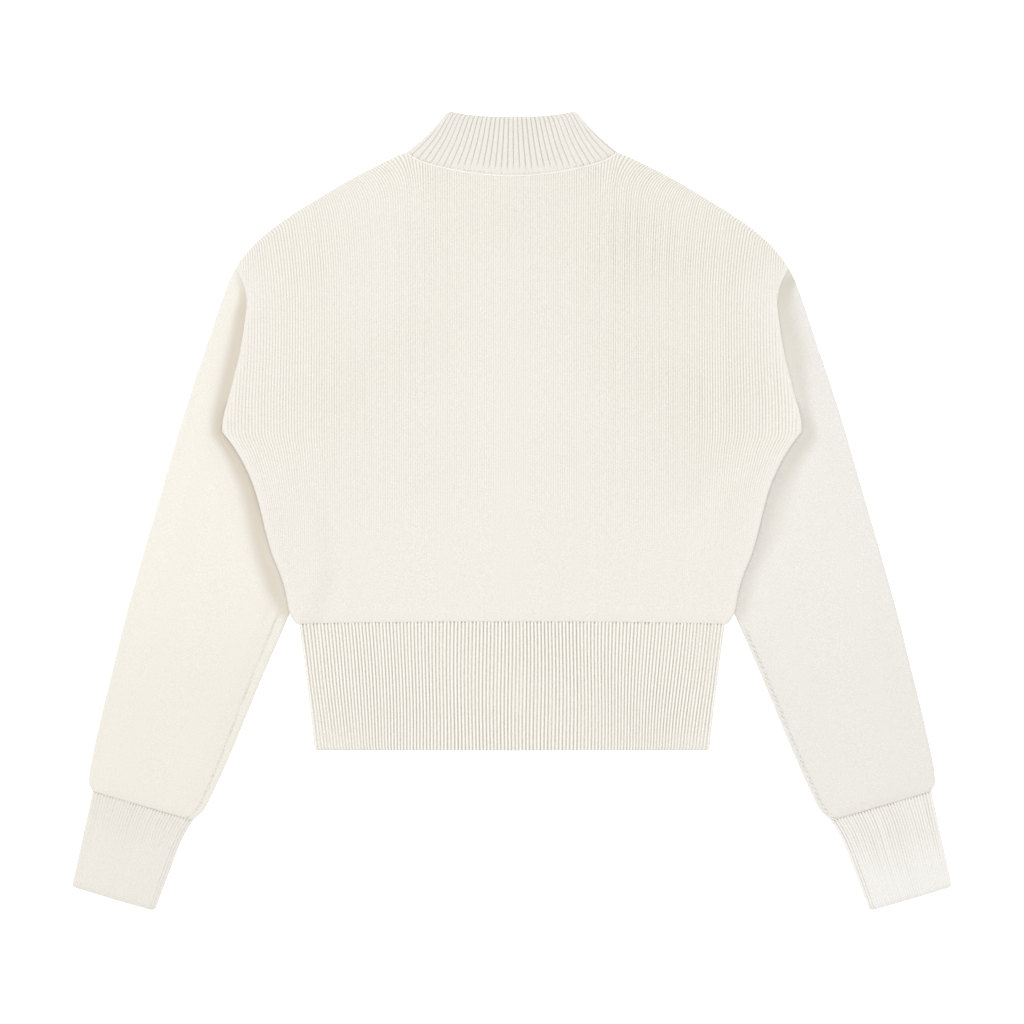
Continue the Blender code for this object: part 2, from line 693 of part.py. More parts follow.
def build():
    """Build every piece of the cardigan."""
    for obj in list(bpy.data.objects):
        bpy.data.objects.remove(obj, do_unlink=True)
    back_panel()
    fronts()
    sleeves()
    cuffs()
    waistband()
    collar()
    zip_tapes_and_chain()
    slider()
    pull_tab()


build()
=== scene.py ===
"""Looks of the zip-up cardigan, laid flat on its front with the zip closed.

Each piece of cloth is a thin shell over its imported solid. Tables and sizes are in
millimetres: x runs across the garment from its centre line, y up towards the collar
and z up from the surface that it lies on. Meshes are written in metres.
"""
import logging
import math
from dataclasses import dataclass, field
from enum import Enum
from typing import Callable, Iterable, Sequence

import bmesh
import bpy
import numpy as np
from mathutils import Matrix, Vector


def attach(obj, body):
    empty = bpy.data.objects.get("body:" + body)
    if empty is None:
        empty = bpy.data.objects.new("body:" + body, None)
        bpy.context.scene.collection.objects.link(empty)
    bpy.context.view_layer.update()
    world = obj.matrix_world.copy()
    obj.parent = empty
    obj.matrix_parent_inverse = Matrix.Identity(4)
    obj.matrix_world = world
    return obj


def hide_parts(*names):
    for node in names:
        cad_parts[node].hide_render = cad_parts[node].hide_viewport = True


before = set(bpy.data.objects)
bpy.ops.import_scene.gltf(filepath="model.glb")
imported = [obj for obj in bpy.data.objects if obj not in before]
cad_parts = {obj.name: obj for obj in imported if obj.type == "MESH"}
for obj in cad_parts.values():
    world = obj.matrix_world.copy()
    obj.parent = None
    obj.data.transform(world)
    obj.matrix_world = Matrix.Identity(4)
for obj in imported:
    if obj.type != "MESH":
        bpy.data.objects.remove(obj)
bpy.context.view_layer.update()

LOG = logging.getLogger("cardigan")
MM = 0.001
TOUCH = 0.02            # between two shells that are linked together
LAID_MIDDLE = 0.6       # y of the middle of the laid-out length, which is the part's origin
SHARP_CLOTH = 80.0      # degrees from which an edge of cloth stays sharp
SHARP_METAL = 32.0
FACTORS = 512           # different factors in a row of uneven ribs or stitches
HOLES = 256             # different holes in a linked seam
CENTRED = 1e-6          # keeps a column that lies on the border of a rib on its right side

Array = np.ndarray
Rows = Sequence[tuple[float, float]]
Colour = tuple[float, float, float]

# Outline of the right half, each row (x, y)
FRONT_EDGE = 6.0
NECK_POINT = (89.7, 306.0)
BACK_NECK = [(0.0, 286.0), (14.9, 286.7), (33.6, 288.7), (47.2, 291.0), (59.5, 293.7), (74.8, 297.8),
             (82.5, 301.1), NECK_POINT]
FRONT_NECK = [(FRONT_EDGE, 240.0), (22.0, 242.5), (40.0, 249.5), (57.0, 261.0), (70.5, 275.0),
              (81.0, 289.5), NECK_POINT]
SHOULDER = [NECK_POINT, (99.5, 302.0), (106.3, 298.8), (126.7, 288.6), (145.4, 278.4), (162.4, 268.2),
            (179.4, 258.0), (194.7, 247.8), (208.3, 237.6), (219.7, 227.4), (228.7, 217.0), (232.6, 211.7),
            (235.5, 207.0)]
ARMHOLE = [(235.5, 207.0), (235.0, 206.1), (233.8, 204.1), (231.0, 199.0), (227.0, 189.0), (225.6, 176.5),
           (227.0, 163.0), (229.4, 147.5), (232.3, 132.0), (236.0, 116.5), (240.5, 98.5), (243.7, 86.0),
           (245.5, 76.0), (246.1, 68.4)]
SIDE_FOLD = [(183.2, -93.9), (187.0, -88.8), (189.6, -82.9), (191.7, -71.0), (196.8, -53.1), (203.6, -36.1),
             (208.7, -18.3), (213.4, 1.3), (218.9, 20.8), (227.4, 40.4), (235.9, 54.8), (246.1, 68.4)]

# Where the outermost wale would run if it didn't go round the side or into the armhole: (y, x)
LAST_WALE = [(-94.2, 208.0), (-60.0, 211.0), (-30.0, 214.0), (0.0, 217.5), (20.0, 222.5), (36.0, 229.0),
             (52.0, 237.0), (68.4, 246.6), (84.0, 246.8), (120.0, 244.0), (176.0, 241.5), (207.0, 241.0)]

# Sleeve and cuff, a row for each section: outer fold (x, y), inner fold (x, y)
SLEEVE = [((235.5, 207.0), (246.1, 68.4)),
          ((240.6, 196.8), (245.6, 67.7)),
          ((248.2, 176.4), (245.0, 66.9)),
          ((257.0, 149.5), (244.3, 66.0)),
          ((268.6, 115.2), (243.0, 64.3)),
          ((280.2, 78.5), (238.5, 58.6)),
          ((290.5, 43.5), (224.0, 43.5)),
          ((300.0, 10.5), (205.0, 26.0)),
          ((308.7, -19.0), (185.5, -2.0)),
          ((318.5, -53.5), (176.0, -46.0)),
          ((328.6, -90.0), (189.0, -85.0)),
          ((337.6, -126.5), (209.6, -133.0)),
          ((347.6, -167.0), (227.6, -176.4)),
          ((355.2, -200.5), (243.0, -213.3)),
          ((359.2, -221.0), (253.4, -236.0)),
          ((359.9, -230.0), (262.5, -253.6)),
          ((356.4, -237.4), (271.5, -262.0))]
CUFF = [((356.5, -237.7), (271.6, -262.3)),
        ((362.6, -265.6), (280.4, -277.0)),
        ((368.6, -293.0), (290.6, -303.0)),
        ((374.3, -318.8), (304.3, -339.2))]

# Waistband, a row for each section: half width, y
WAISTBAND = [(180.6, -94.2), (174.7, -143.2), (170.6, -176.0), (167.9, -202.7)]

# Collar: its side fold and its two upper edges, each row (x, y)
COLLAR_FOLD = [NECK_POINT, (78.6, 315.0), (70.1, 322.6), (63.0, 330.6), (54.8, 340.4)]
COLLAR_BACK_EDGE = [(0.0, 336.2), (20.0, 336.6), (40.0, 338.2), (54.8, 340.4)]
COLLAR_FRONT_EDGE = [(FRONT_EDGE, 290.0), (20.0, 293.5), (34.0, 304.0), (45.0, 320.0), (54.8, 340.4)]


class Side(Enum):
    """A side of the garment, with the sign of its x."""

    LEFT = -1.0
    RIGHT = 1.0

    @property
    def word(self) -> str:
        """The side's name in piece names."""
        return self.name.lower()


class Layer(Enum):
    """The layer of the laid garment that a panel belongs to."""

    UPPER = "upper"
    LOWER = "lower"


def smooth(value: Array) -> Array:
    """A soft step from 0 to 1 as the value goes from 0 to 1."""
    held = np.clip(value, 0.0, 1.0)
    return held * held * (3.0 - 2.0 * held)


def ramp(value: Array, start: float, end: float) -> Array:
    """A soft step from 0 at the start to 1 at the end."""
    return smooth((value - start) / (end - start))


def hill(distance: Array, reach: float) -> Array:
    """A round hill, 1 in the middle and 0 from the reach on."""
    return np.clip(1.0 - (distance / reach) ** 2, 0.0, None) ** 2


def bell(distance: Array, reach: float) -> Array:
    """A bell curve, 1 in the middle, that is nearly gone at twice the reach."""
    return np.exp(-(distance / reach) ** 2)


def round_corner(to_end: Array, radius: float) -> Array:
    """How far a round corner draws an edge in, at distances from the end."""
    short = radius - np.clip(to_end, 0.0, radius)
    return radius - np.sqrt(radius * radius - short * short)


def eased(at: Array, values: Array, asked: Array) -> Array:
    """Interpolate a table smoothly, without overshooting its rows.

    Args:
        at: where the rows stand, rising.
        values: the value of each row.
        asked: where values are wanted.

    Returns:
        The values there.
    """
    rises = np.diff(values) / np.diff(at)
    product = rises[:-1] * rises[1:]
    total = rises[:-1] + rises[1:]
    middle = np.where(product > 0.0, 2.0 * product / np.where(product > 0.0, total, 1.0), 0.0)
    slope = np.concatenate([rises[:1], middle, rises[-1:]])
    index = np.clip(np.searchsorted(at, asked, side="right") - 1, 0, len(at) - 2)
    step = at[index + 1] - at[index]
    t = np.clip((asked - at[index]) / step, 0.0, 1.0)
    s = 1.0 - t
    start = (1.0 + 2.0 * t) * s * s * values[index] + t * s * s * step * slope[index]
    end = t * t * (3.0 - 2.0 * t) * values[index + 1] - t * t * s * step * slope[index + 1]
    return start + end


def spread(length: float, start: Sequence[float], end: Sequence[float], count: int) -> Array:
    """Positions along a length, close together at its ends.

    Args:
        length: the whole length.
        start: offsets from the start, rising from 0.
        end: offsets from the end, rising from 0.
        count: how many even steps lie between them.

    Returns:
        The positions, rising from 0 to the length.
    """
    middle = np.linspace(start[-1], length - end[-1], count + 1)
    return np.concatenate([start[:-1], middle, length - np.array(end[:-1][::-1])])


class Line:
    """A smooth curve through (x, y) rows, kept as short straight steps."""

    def __init__(self, rows: Rows, steps: int = 6) -> None:
        """Draw the curve.

        Args:
            rows: the points that it passes through.
            steps: straight steps between two rows; 1 keeps the rows' own polygon.
        """
        table = np.array(rows, float)
        at = np.concatenate([[0.0], np.cumsum(np.hypot(*np.diff(table, axis=0).T))])
        count = steps * (len(rows) - 1)
        asked = np.interp(np.arange(count + 1) / steps, np.arange(len(rows)), at)
        self.x = eased(at, table[:, 0], asked) if steps > 1 else table[:, 0]
        self.y = eased(at, table[:, 1], asked) if steps > 1 else table[:, 1]
        self.arc = np.concatenate([[0.0], np.cumsum(np.hypot(np.diff(self.x), np.diff(self.y)))])

    @property
    def length(self) -> float:
        """The curve's length."""
        return float(self.arc[-1])

    def at(self, share: Array) -> tuple[Array, Array]:
        """The points at shares of the curve's length."""
        reached = np.asarray(share) * self.length
        return np.interp(reached, self.arc, self.x), np.interp(reached, self.arc, self.y)

    def y_at(self, x: Array) -> Array:
        """The y at an x, on a curve whose x rises."""
        return np.interp(x, self.x, self.y)

    def x_at(self, y: Array) -> Array:
        """The x at a y, on a curve whose y rises or falls throughout."""
        order = slice(None) if self.y[-1] > self.y[0] else slice(None, None, -1)
        return np.interp(y, self.y[order], self.x[order])

    def distance(self, x: Array, y: Array) -> Array:
        """The distance from points to the curve.

        Args:
            x: the points' x.
            y: the points' y.

        Returns:
            The shortest distances.
        """
        best = np.full(np.broadcast(x, y).shape, np.inf)
        for ax, ay, bx, by in zip(self.x[:-1], self.y[:-1], self.x[1:], self.y[1:]):
            run_x, run_y = bx - ax, by - ay
            share = ((x - ax) * run_x + (y - ay) * run_y) / (run_x ** 2 + run_y ** 2)
            share = np.clip(share, 0.0, 1.0)
            best = np.minimum(best, np.hypot(x - ax - share * run_x, y - ay - share * run_y))
        return best


@dataclass(frozen=True)
class Lie:
    """How the layers of the laid garment lie over each other."""

    wall: float = 2.1
    gap: float = 0.3
    fold_radius: float = 3.4
    fold_lip: float = 0.42
    zip_room: float = 2.5
    zip_room_reach: float = 50.0
    slider_y: float = 281.0
    slider_rise: float = 1.7
    slider_reach: float = 55.0
    sleeve_lift: float = 5.2
    lift_ramp: float = 24.0
    lift_lead: float = 8.0
    roll: float = 1.9
    roll_reach: float = 9.0
    hem_rise: float = 1.1
    hem_droop: float = 1.9
    hem_reach: float = 26.0
    sleeve_fold: Line = field(default_factory=lambda: Line([row[1] for row in SLEEVE], 1))
    side_fold: Line = field(default_factory=lambda: Line(SIDE_FOLD))
    armhole: Line = field(default_factory=lambda: Line(ARMHOLE))
    shoulder: Line = field(default_factory=lambda: Line(SHOULDER))

    def over_slider(self, x: Array, y: Array) -> Array:
        """How far the slider and its tab hold everything off the surface."""
        return self.slider_rise * hill(np.hypot(x, y - self.slider_y), self.slider_reach)

    def over_sleeve(self, x: Array, y: Array) -> Array:
        """How far a sleeve lifts the side of the body at points.

        Args:
            x: the points' x.
            y: the points' y.

        Returns:
            The lift.
        """
        across = np.abs(x)
        fold = self.sleeve_fold
        beside = (y <= fold.y[0]) & (y >= fold.y[-1]) & (across > fold.x_at(y))
        beyond = fold.distance(across, y) * np.where(beside, 1.0, -1.0)
        return self.sleeve_lift * smooth(1.0 + (beyond + self.lift_lead) / self.lift_ramp)

    def body_lift(self, x: Array, y: Array) -> Array:
        """How far the underside of the body lies above the surface."""
        return self.over_slider(x, y) + self.over_sleeve(x, y)

    def layer_room(self, x: Array) -> Array:
        """The room between the fronts and the back."""
        return self.gap + self.zip_room * bell(x, self.zip_room_reach)

    def rounding(self, distance: Array) -> Array:
        """Share of the wall's thickness at a distance inside a fold."""
        short = 1.0 - np.clip(distance / self.fold_radius, 0.0, 1.0)
        return self.fold_lip + (1.0 - self.fold_lip) * np.sqrt(1.0 - short * short)

    def edge_distance(self, x: Array, y: Array) -> Array:
        """The distance to the body's side fold and armhole."""
        across = np.abs(x)
        return np.minimum(self.side_fold.distance(across, y), self.armhole.distance(across, y))

    def hem_bow(self, x: Array, y: Array) -> Array:
        """How far the seam between body and waistband is pulled up in the middle and sags at the sides."""
        along = self.hem_rise - self.hem_droop * (x / WAISTBAND[0][0]) ** 2
        return along * (1.0 - smooth(np.abs(y - WAISTBAND[0][1]) / self.hem_reach))

    def edge_roll(self, x: Array, y: Array, layer: Layer) -> Array:
        """How far the body's edge rolls up beside the sleeve.

        Args:
            x: the points' x.
            y: the points' y.
            layer: the layer; the fronts roll up only below the underarm.

        Returns:
            The height to add.
        """
        top = ramp(y, 198.0, 158.0) if layer is Layer.UPPER else ramp(y, 60.0, 30.0)
        along = top * ramp(y, -75.0, -5.0)
        return self.roll * along * bell(self.edge_distance(x, y), self.roll_reach)


LIE = Lie()


@dataclass(frozen=True)
class Crease:
    """A soft trough or ridge that someone pressed or folded into the cloth."""

    start: tuple[float, float]
    end: tuple[float, float]
    width: float
    height: float
    bow: float = 0.0

    def relief(self, x: Array, y: Array) -> Array:
        """The height that the crease adds at points.

        Args:
            x: the points' x, with its sign.
            y: the points' y.

        Returns:
            The height, below 0 in a trough.
        """
        run = np.subtract(self.end, self.start)
        length = float(np.hypot(*run))
        along = ((x - self.start[0]) * run[0] + (y - self.start[1]) * run[1]) / length ** 2
        across = ((y - self.start[1]) * run[0] - (x - self.start[0]) * run[1]) / length
        across = across - self.bow * 4.0 * along * (1.0 - along)
        ends = smooth(along / 0.3) * smooth((1.0 - along) / 0.3)
        return self.height * ends * bell(across, self.width)


@dataclass(frozen=True)
class Rib:
    """The cross profile of a rib, and where columns of points cut it."""

    phases: tuple[float, ...]
    slope: float
    valley: float = 0.0
    shift: float = 0.0

    def shares(self, count: int) -> Array:
        """Shares of a width at the columns of a number of ribs side by side.

        Args:
            count: how many ribs the width has.

        Returns:
            The shares, rising from 0 to 1.
        """
        ribs = np.arange(count + 1)[:, None] + np.array(self.phases)[None, :] - self.shift
        cuts = ribs.ravel() / count
        inside = cuts[(cuts > CENTRED) & (cuts < 1.0 - CENTRED)]
        return np.concatenate([[0.0], inside, [1.0]])

    def profile(self, position: Array) -> Array:
        """The height, 0 in a groove to 1 on a ridge, at positions counted in ribs.

        Args:
            position: the positions.

        Returns:
            The heights.
        """
        phase = np.mod(position + self.shift + CENTRED, 1.0)
        inward = (2.0 * np.minimum(phase, 1.0 - phase) - self.valley) / (1.0 - self.valley)
        short = 1.0 - np.clip(inward / self.slope, 0.0, 1.0)
        return np.sqrt(np.clip(1.0 - short * short, 0.0, 1.0))


def uneven(position: Array, seed: int, amount: float) -> Array:
    """A factor round 1 that differs from one rib or stitch to the next.

    Args:
        position: positions counted in ribs or stitches.
        seed: which row of factors is taken.
        amount: how far the factors spread.

    Returns:
        The factors.
    """
    table = np.random.default_rng(seed).uniform(1.0 - amount, 1.0 + amount, FACTORS)
    return table[np.floor(np.asarray(position) + 0.5).astype(int) % FACTORS]


def linking_holes(along: Array, pitch: float, seed: int, size: float = 0.75) -> Array:
    """The small holes of a linked seam: 1 in a hole and 0 between two.

    Args:
        along: positions along the seam.
        pitch: the mean distance of two holes.
        seed: which uneven spacing is taken.
        size: a hole's half width.

    Returns:
        How deep in a hole each position is.
    """
    number = np.round(np.asarray(along) / pitch)
    index = number.astype(int) % HOLES
    dice = np.random.default_rng(seed)
    shift = dice.uniform(-0.22, 0.22, HOLES)[index] * pitch
    strength = dice.uniform(0.45, 1.0, HOLES)[index]
    return strength * bell(np.asarray(along) - number * pitch - shift, size)


def metres(points: Array) -> Array:
    """Points of the laid garment in metres, round the part's origin."""
    return (np.asarray(points) - np.array([0.0, LAID_MIDDLE, 0.0])) * MM


def put(name: str, data: bpy.types.ID) -> bpy.types.Object:
    """Make an object of a mesh, lamp or camera and link it into the scene.

    Args:
        name: its name.
        data: what it shows or is.

    Returns:
        The object.
    """
    obj = bpy.data.objects.new(name, data)
    bpy.context.scene.collection.objects.link(obj)
    return obj


def tie(obj: bpy.types.Object, node: str | None, body: str = "garment") -> bpy.types.Object:
    """Attach a finished piece to its body, hide the CAD part that it stands for, and report it.

    Args:
        obj: the piece.
        node: the CAD node, or nothing for sewing that has no solid.
        body: the body that it rides on.

    Returns:
        The piece.
    """
    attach(obj, body)
    if node:
        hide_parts(node)
    LOG.info("%s: %d faces", obj.name, len(obj.data.polygons))
    return obj


def tie_cloth(obj: bpy.types.Object, node: str, cut: tuple[float, float], area: float,
              rests_on: Iterable[str] = ()) -> bpy.types.Object:
    """Tie a piece of cloth and report its cut and area.

    Args:
        obj: the piece.
        node: the CAD node that it stands for.
        cut: the width and length of its cut, in millimetres.
        area: the cut's area, in square metres.
        rests_on: not used.

    Returns:
        The piece.
    """
    tie(obj, node)
    LOG.info("%s: cut %.0f x %.0f mm, %.4f m2", obj.name, *cut, area)
    return obj


class Shell:
    """A closed wall of cloth between an outer and an inner grid of points."""

    def __init__(self, name: str, outer: Array, inner: Array, uv: Array, closed: bool,
                 steps: tuple[int, int]) -> None:
        """Keep the grids.

        Args:
            name: the piece's name.
            outer: rows x columns x 3 points of the outer face.
            inner: the same for the inner face.
            uv: stitches across and along at each point; a tube has one column more.
            closed: whether the columns close into a tube.
            steps: rows and columns that the coarser inner face takes at a time.
        """
        self.name = name
        self.outer = outer
        self.inner = inner[::steps[0], ::steps[1]]
        self.uv = uv
        self.closed = closed
        self.steps = steps
        self.shades: dict[str, Array] = {}

    def shade(self, name: str, values: Array) -> None:
        """Keep a value for each outer point, which the finish reads by name."""
        self.shades[name] = values

    def flat_area(self) -> float:
        """The area of the outer face seen from above, both layers of a tube.

        Returns:
            The area in m2.
        """
        x, y = self.outer[..., 0], self.outer[..., 1]
        if self.closed:
            x, y = (np.concatenate([values, values[:, :1]], 1) for values in (x, y))
        first_x, first_y = x[1:, 1:] - x[:-1, :-1], y[1:, 1:] - y[:-1, :-1]
        second_x, second_y = x[1:, :-1] - x[:-1, 1:], y[1:, :-1] - y[:-1, 1:]
        return float(np.abs(first_x * second_y - first_y * second_x).sum() / 2.0) * MM * MM

    @staticmethod
    def _quads(rows: int, columns: int, start: int) -> Array:
        """The corners of each field of a grid of positions."""
        here = start + np.arange(rows - 1)[:, None] * columns + np.arange(columns - 1)[None, :]
        return np.stack([here, here + 1, here + 1 + columns, here + columns], -1).reshape(-1, 4)

    @staticmethod
    def _fan(fine: Array, coarse: Array, step: int, flip: bool) -> Array:
        """Triangles that join a fine edge to a coarser one.

        Args:
            fine: positions along the fine edge.
            coarse: positions along the coarse edge.
            step: fine steps for each coarse one.
            flip: whether the triangles are turned round.

        Returns:
            The triangles' corners.
        """
        owner = coarse[np.arange(len(fine) - 1) // step]
        slim = np.stack([fine[1:], fine[:-1], owner], -1)
        wide = np.stack([coarse[:-1], coarse[1:], fine[step::step]], -1)
        both = np.concatenate([slim, wide])
        return both[:, ::-1] if flip else both

    def build(self, material: bpy.types.Material) -> bpy.types.Object:
        """Make the piece.

        Args:
            material: its finish.

        Returns:
            The object, whose mesh holds the place.
        """
        rows, columns = self.outer.shape[:2]
        low_rows, low_columns = self.inner.shape[:2]
        outer_ids = np.arange(rows * columns).reshape(rows, columns)
        inner_ids = rows * columns + np.arange(low_rows * low_columns).reshape(low_rows, low_columns)
        if self.closed:
            outer_ids = np.concatenate([outer_ids, outer_ids[:, :1]], 1)
            inner_ids = np.concatenate([inner_ids, inner_ids[:, :1]], 1)
        ids = np.concatenate([outer_ids.ravel(), inner_ids.ravel()])
        coarse_uv = self.uv[::self.steps[0], ::self.steps[1]]
        uv = np.concatenate([self.uv.reshape(-1, 2), coarse_uv.reshape(-1, 2)])
        fine = np.arange(outer_ids.size).reshape(outer_ids.shape)
        coarse = outer_ids.size + np.arange(inner_ids.size).reshape(inner_ids.shape)
        quads = np.concatenate([self._quads(*outer_ids.shape, 0),
                                self._quads(*inner_ids.shape, outer_ids.size)[:, ::-1]])
        fans = [self._fan(fine[0], coarse[0], self.steps[1], False),
                self._fan(fine[-1], coarse[-1], self.steps[1], True)]
        if not self.closed:
            fans += [self._fan(fine[:, 0], coarse[:, 0], self.steps[0], True),
                     self._fan(fine[:, -1], coarse[:, -1], self.steps[0], False)]
        triangles = np.concatenate(fans)
        points = metres(np.concatenate([self.outer.reshape(-1, 3), self.inner.reshape(-1, 3)]))
        halves = np.concatenate([quads[:, (0, 1, 2)], quads[:, (0, 2, 3)], triangles])
        corners = points[ids[halves]]
        volume = np.einsum("ij,ij->i", corners[:, 0], np.cross(corners[:, 1], corners[:, 2])).sum()
        if volume < 0.0:
            quads, triangles = quads[:, ::-1], triangles[:, ::-1]
        return self._mesh(points, ids, uv, quads, triangles, material)

    def _mesh(self, points: Array, ids: Array, uv: Array, quads: Array, triangles: Array,
              material: bpy.types.Material) -> bpy.types.Object:
        """Write the mesh.

        Args:
            points: the vertices, in metres.
            ids: the vertex at each position.
            uv: the stitch coordinates at each position.
            quads: positions of each four-cornered face.
            triangles: positions of each three-cornered face.
            material: the finish.

        Returns:
            The object.
        """
        mesh = bpy.data.meshes.new(self.name)
        positions = np.concatenate([quads.ravel(), triangles.ravel()])
        mesh.vertices.add(len(points))
        mesh.vertices.foreach_set("co", points.astype(np.float32).ravel())
        mesh.loops.add(len(positions))
        mesh.loops.foreach_set("vertex_index", ids[positions].astype(np.int32))
        starts = np.concatenate([np.arange(len(quads)) * 4, quads.size + np.arange(len(triangles)) * 3])
        mesh.polygons.add(len(starts))
        mesh.polygons.foreach_set("loop_start", starts.astype(np.int32))
        mesh.update(calc_edges=True)
        layer = mesh.uv_layers.new(name="stitches")
        layer.data.foreach_set("uv", uv[positions].astype(np.float32).ravel())
        for name, values in self.shades.items():
            attribute = mesh.attributes.new(name, "FLOAT", "POINT")
            inner = np.zeros(self.inner.shape[0] * self.inner.shape[1])
            attribute.data.foreach_set("value", np.concatenate([values.ravel(), inner]).astype(np.float32))
        mesh.shade_smooth()
        mesh.set_sharp_from_angle(angle=math.radians(SHARP_CLOTH))
        mesh.materials.append(material)
        return put(self.name, mesh)


def dimmed(colour: Colour, share: float) -> Colour:
    """A colour with only a share of its light."""
    return tuple(part * share for part in colour)


class Value:
    """A number socket of a node tree that takes part in Python's arithmetic."""

    def __init__(self, nodes: "Nodes", socket: bpy.types.NodeSocket) -> None:
        """Keep the socket and the tree that it is in."""
        self.nodes = nodes
        self.socket = socket

    def _with(self, operation: str, *others: "Value | float", swapped: bool = False) -> "Value":
        """A Math node on this value and others.

        Args:
            operation: the Math node's operation.
            others: the other operands.
            swapped: whether this value comes second.

        Returns:
            The result.
        """
        operands = [self, *others]
        if swapped:
            operands.reverse()
        node = self.nodes.node("ShaderNodeMath", {"operation": operation}, dict(enumerate(operands)))
        return Value(self.nodes, node.outputs[0])

    def __add__(self, other: "Value | float") -> "Value":
        """This value plus another."""
        return self._with("ADD", other)

    def __radd__(self, other: float) -> "Value":
        """A number plus this value."""
        return self._with("ADD", other)

    def __sub__(self, other: "Value | float") -> "Value":
        """This value less another."""
        return self._with("SUBTRACT", other)

    def __rsub__(self, other: float) -> "Value":
        """A number less this value."""
        return self._with("SUBTRACT", other, swapped=True)

    def __mul__(self, other: "Value | float") -> "Value":
        """This value times another."""
        return self._with("MULTIPLY", other)

    def __rmul__(self, other: float) -> "Value":
        """A number times this value."""
        return self._with("MULTIPLY", other)

    def __mod__(self, other: float) -> "Value":
        """The remainder after division by a number."""
        return self._with("MODULO", other)

    def __abs__(self) -> "Value":
        """The value without its sign."""
        return self._with("ABSOLUTE")

    def fraction(self) -> "Value":
        """The value's part after the point."""
        return self._with("FRACT")

    def cosine(self) -> "Value":
        """The value's cosine."""
        return self._with("COSINE")

    def clipped(self) -> "Value":
        """The value held between 0 and 1."""
        node = self.nodes.node("ShaderNodeClamp", {}, {"Value": self})
        return Value(self.nodes, node.outputs[0])


class Nodes:
    """A node tree that nodes are added to by type, settings and inputs."""

    def __init__(self, tree: bpy.types.NodeTree) -> None:
        """Keep the tree."""
        self.tree = tree

    def node(self, kind: str, settings: dict | None = None, inputs: dict | None = None) -> bpy.types.Node:
        """Add a node.

        Args:
            kind: the node's type.
            settings: its settings, set first.
            inputs: values or links of its sockets, by name or number.

        Returns:
            The node.
        """
        node = self.tree.nodes.new(kind)
        for name, setting in (settings or {}).items():
            setattr(node, name, setting)
        for name, given in (inputs or {}).items():
            self.feed(node.inputs[name], given)
        return node

    def feed(self, socket: bpy.types.NodeSocket, given: object) -> None:
        """Link or set a socket.

        Args:
            socket: the input socket.
            given: a value or another socket to link, or what the socket is set to.
        """
        if isinstance(given, Value):
            given = given.socket
        if isinstance(given, bpy.types.NodeSocket):
            self.tree.links.new(given, socket)
        else:
            socket.default_value = given


class Graph(Nodes):
    """The nodes of one material, from an empty tree with a Principled shader."""

    def __init__(self, name: str) -> None:
        """Start a material.

        Args:
            name: the material's name.
        """
        self.material = bpy.data.materials.new(name)
        self.material.use_nodes = True
        super().__init__(self.material.node_tree)
        self.tree.nodes.clear()
        self.shader = self.node("ShaderNodeBsdfPrincipled")
        self.node("ShaderNodeOutputMaterial", {}, {0: self.shader.outputs[0]})

    def stitches(self) -> tuple[Value, Value]:
        """The piece's stitch coordinates.

        Returns:
            Wales across and courses along.
        """
        uv = self.node("ShaderNodeUVMap", {"uv_map": "stitches"})
        parts = self.node("ShaderNodeSeparateXYZ", {}, {0: uv.outputs[0]})
        return Value(self, parts.outputs[0]), Value(self, parts.outputs[1])

    def attribute(self, name: str) -> Value:
        """A value that a shell keeps for each point, 0 on pieces without it."""
        node = self.node("ShaderNodeAttribute", {"attribute_name": name})
        return Value(self, node.outputs["Fac"])

    def noise(self, scale: float, detail: float = 2.0,
              stretch: tuple[float, float, float] = (1.0, 1.0, 1.0)) -> Value:
        """Soft noise on the object's own coordinates.

        Args:
            scale: its scale, per metre.
            detail: how many finer layers it has.
            stretch: factors on x, y and z.

        Returns:
            The noise, from 0 to 1.
        """
        place = self.node("ShaderNodeTexCoord").outputs["Object"]
        mapped = self.node("ShaderNodeMapping", {}, {"Vector": place, "Scale": stretch})
        node = self.node("ShaderNodeTexNoise", {},
                         {"Vector": mapped.outputs[0], "Scale": scale, "Detail": detail})
        return Value(self, node.outputs[0])

    def blend(self, factor: "Value | float", start: object, end: object) -> bpy.types.NodeSocket:
        """A colour between two colours.

        Args:
            factor: 0 for the first colour, 1 for the second.
            start: a colour's red, green and blue, or a socket.
            end: the same.

        Returns:
            The colour's socket.
        """
        colours = [(*colour, 1.0) if isinstance(colour, tuple) else colour for colour in (start, end)]
        node = self.node("ShaderNodeMix", {"data_type": "RGBA"}, {0: factor, 6: colours[0], 7: colours[1]})
        return node.outputs[2]

    def bump(self, height: Value, distance: float, strength: float) -> bpy.types.NodeSocket:
        """A normal from a height.

        Args:
            height: the height, from 0 to 1.
            distance: what height 1 stands for, in metres.
            strength: how much of it shows.

        Returns:
            The normal's socket.
        """
        node = self.node("ShaderNodeBump", {}, {"Strength": strength, "Distance": distance, "Height": height})
        return node.outputs[0]

    def dress(self, **inputs: object) -> bpy.types.Material:
        """Set the shader's sockets.

        Args:
            inputs: a value or link for each socket, with _ for a space in its name.

        Returns:
            The material.
        """
        for name, given in inputs.items():
            self.feed(self.shader.inputs[name.replace("_", " ")], given)
        return self.material


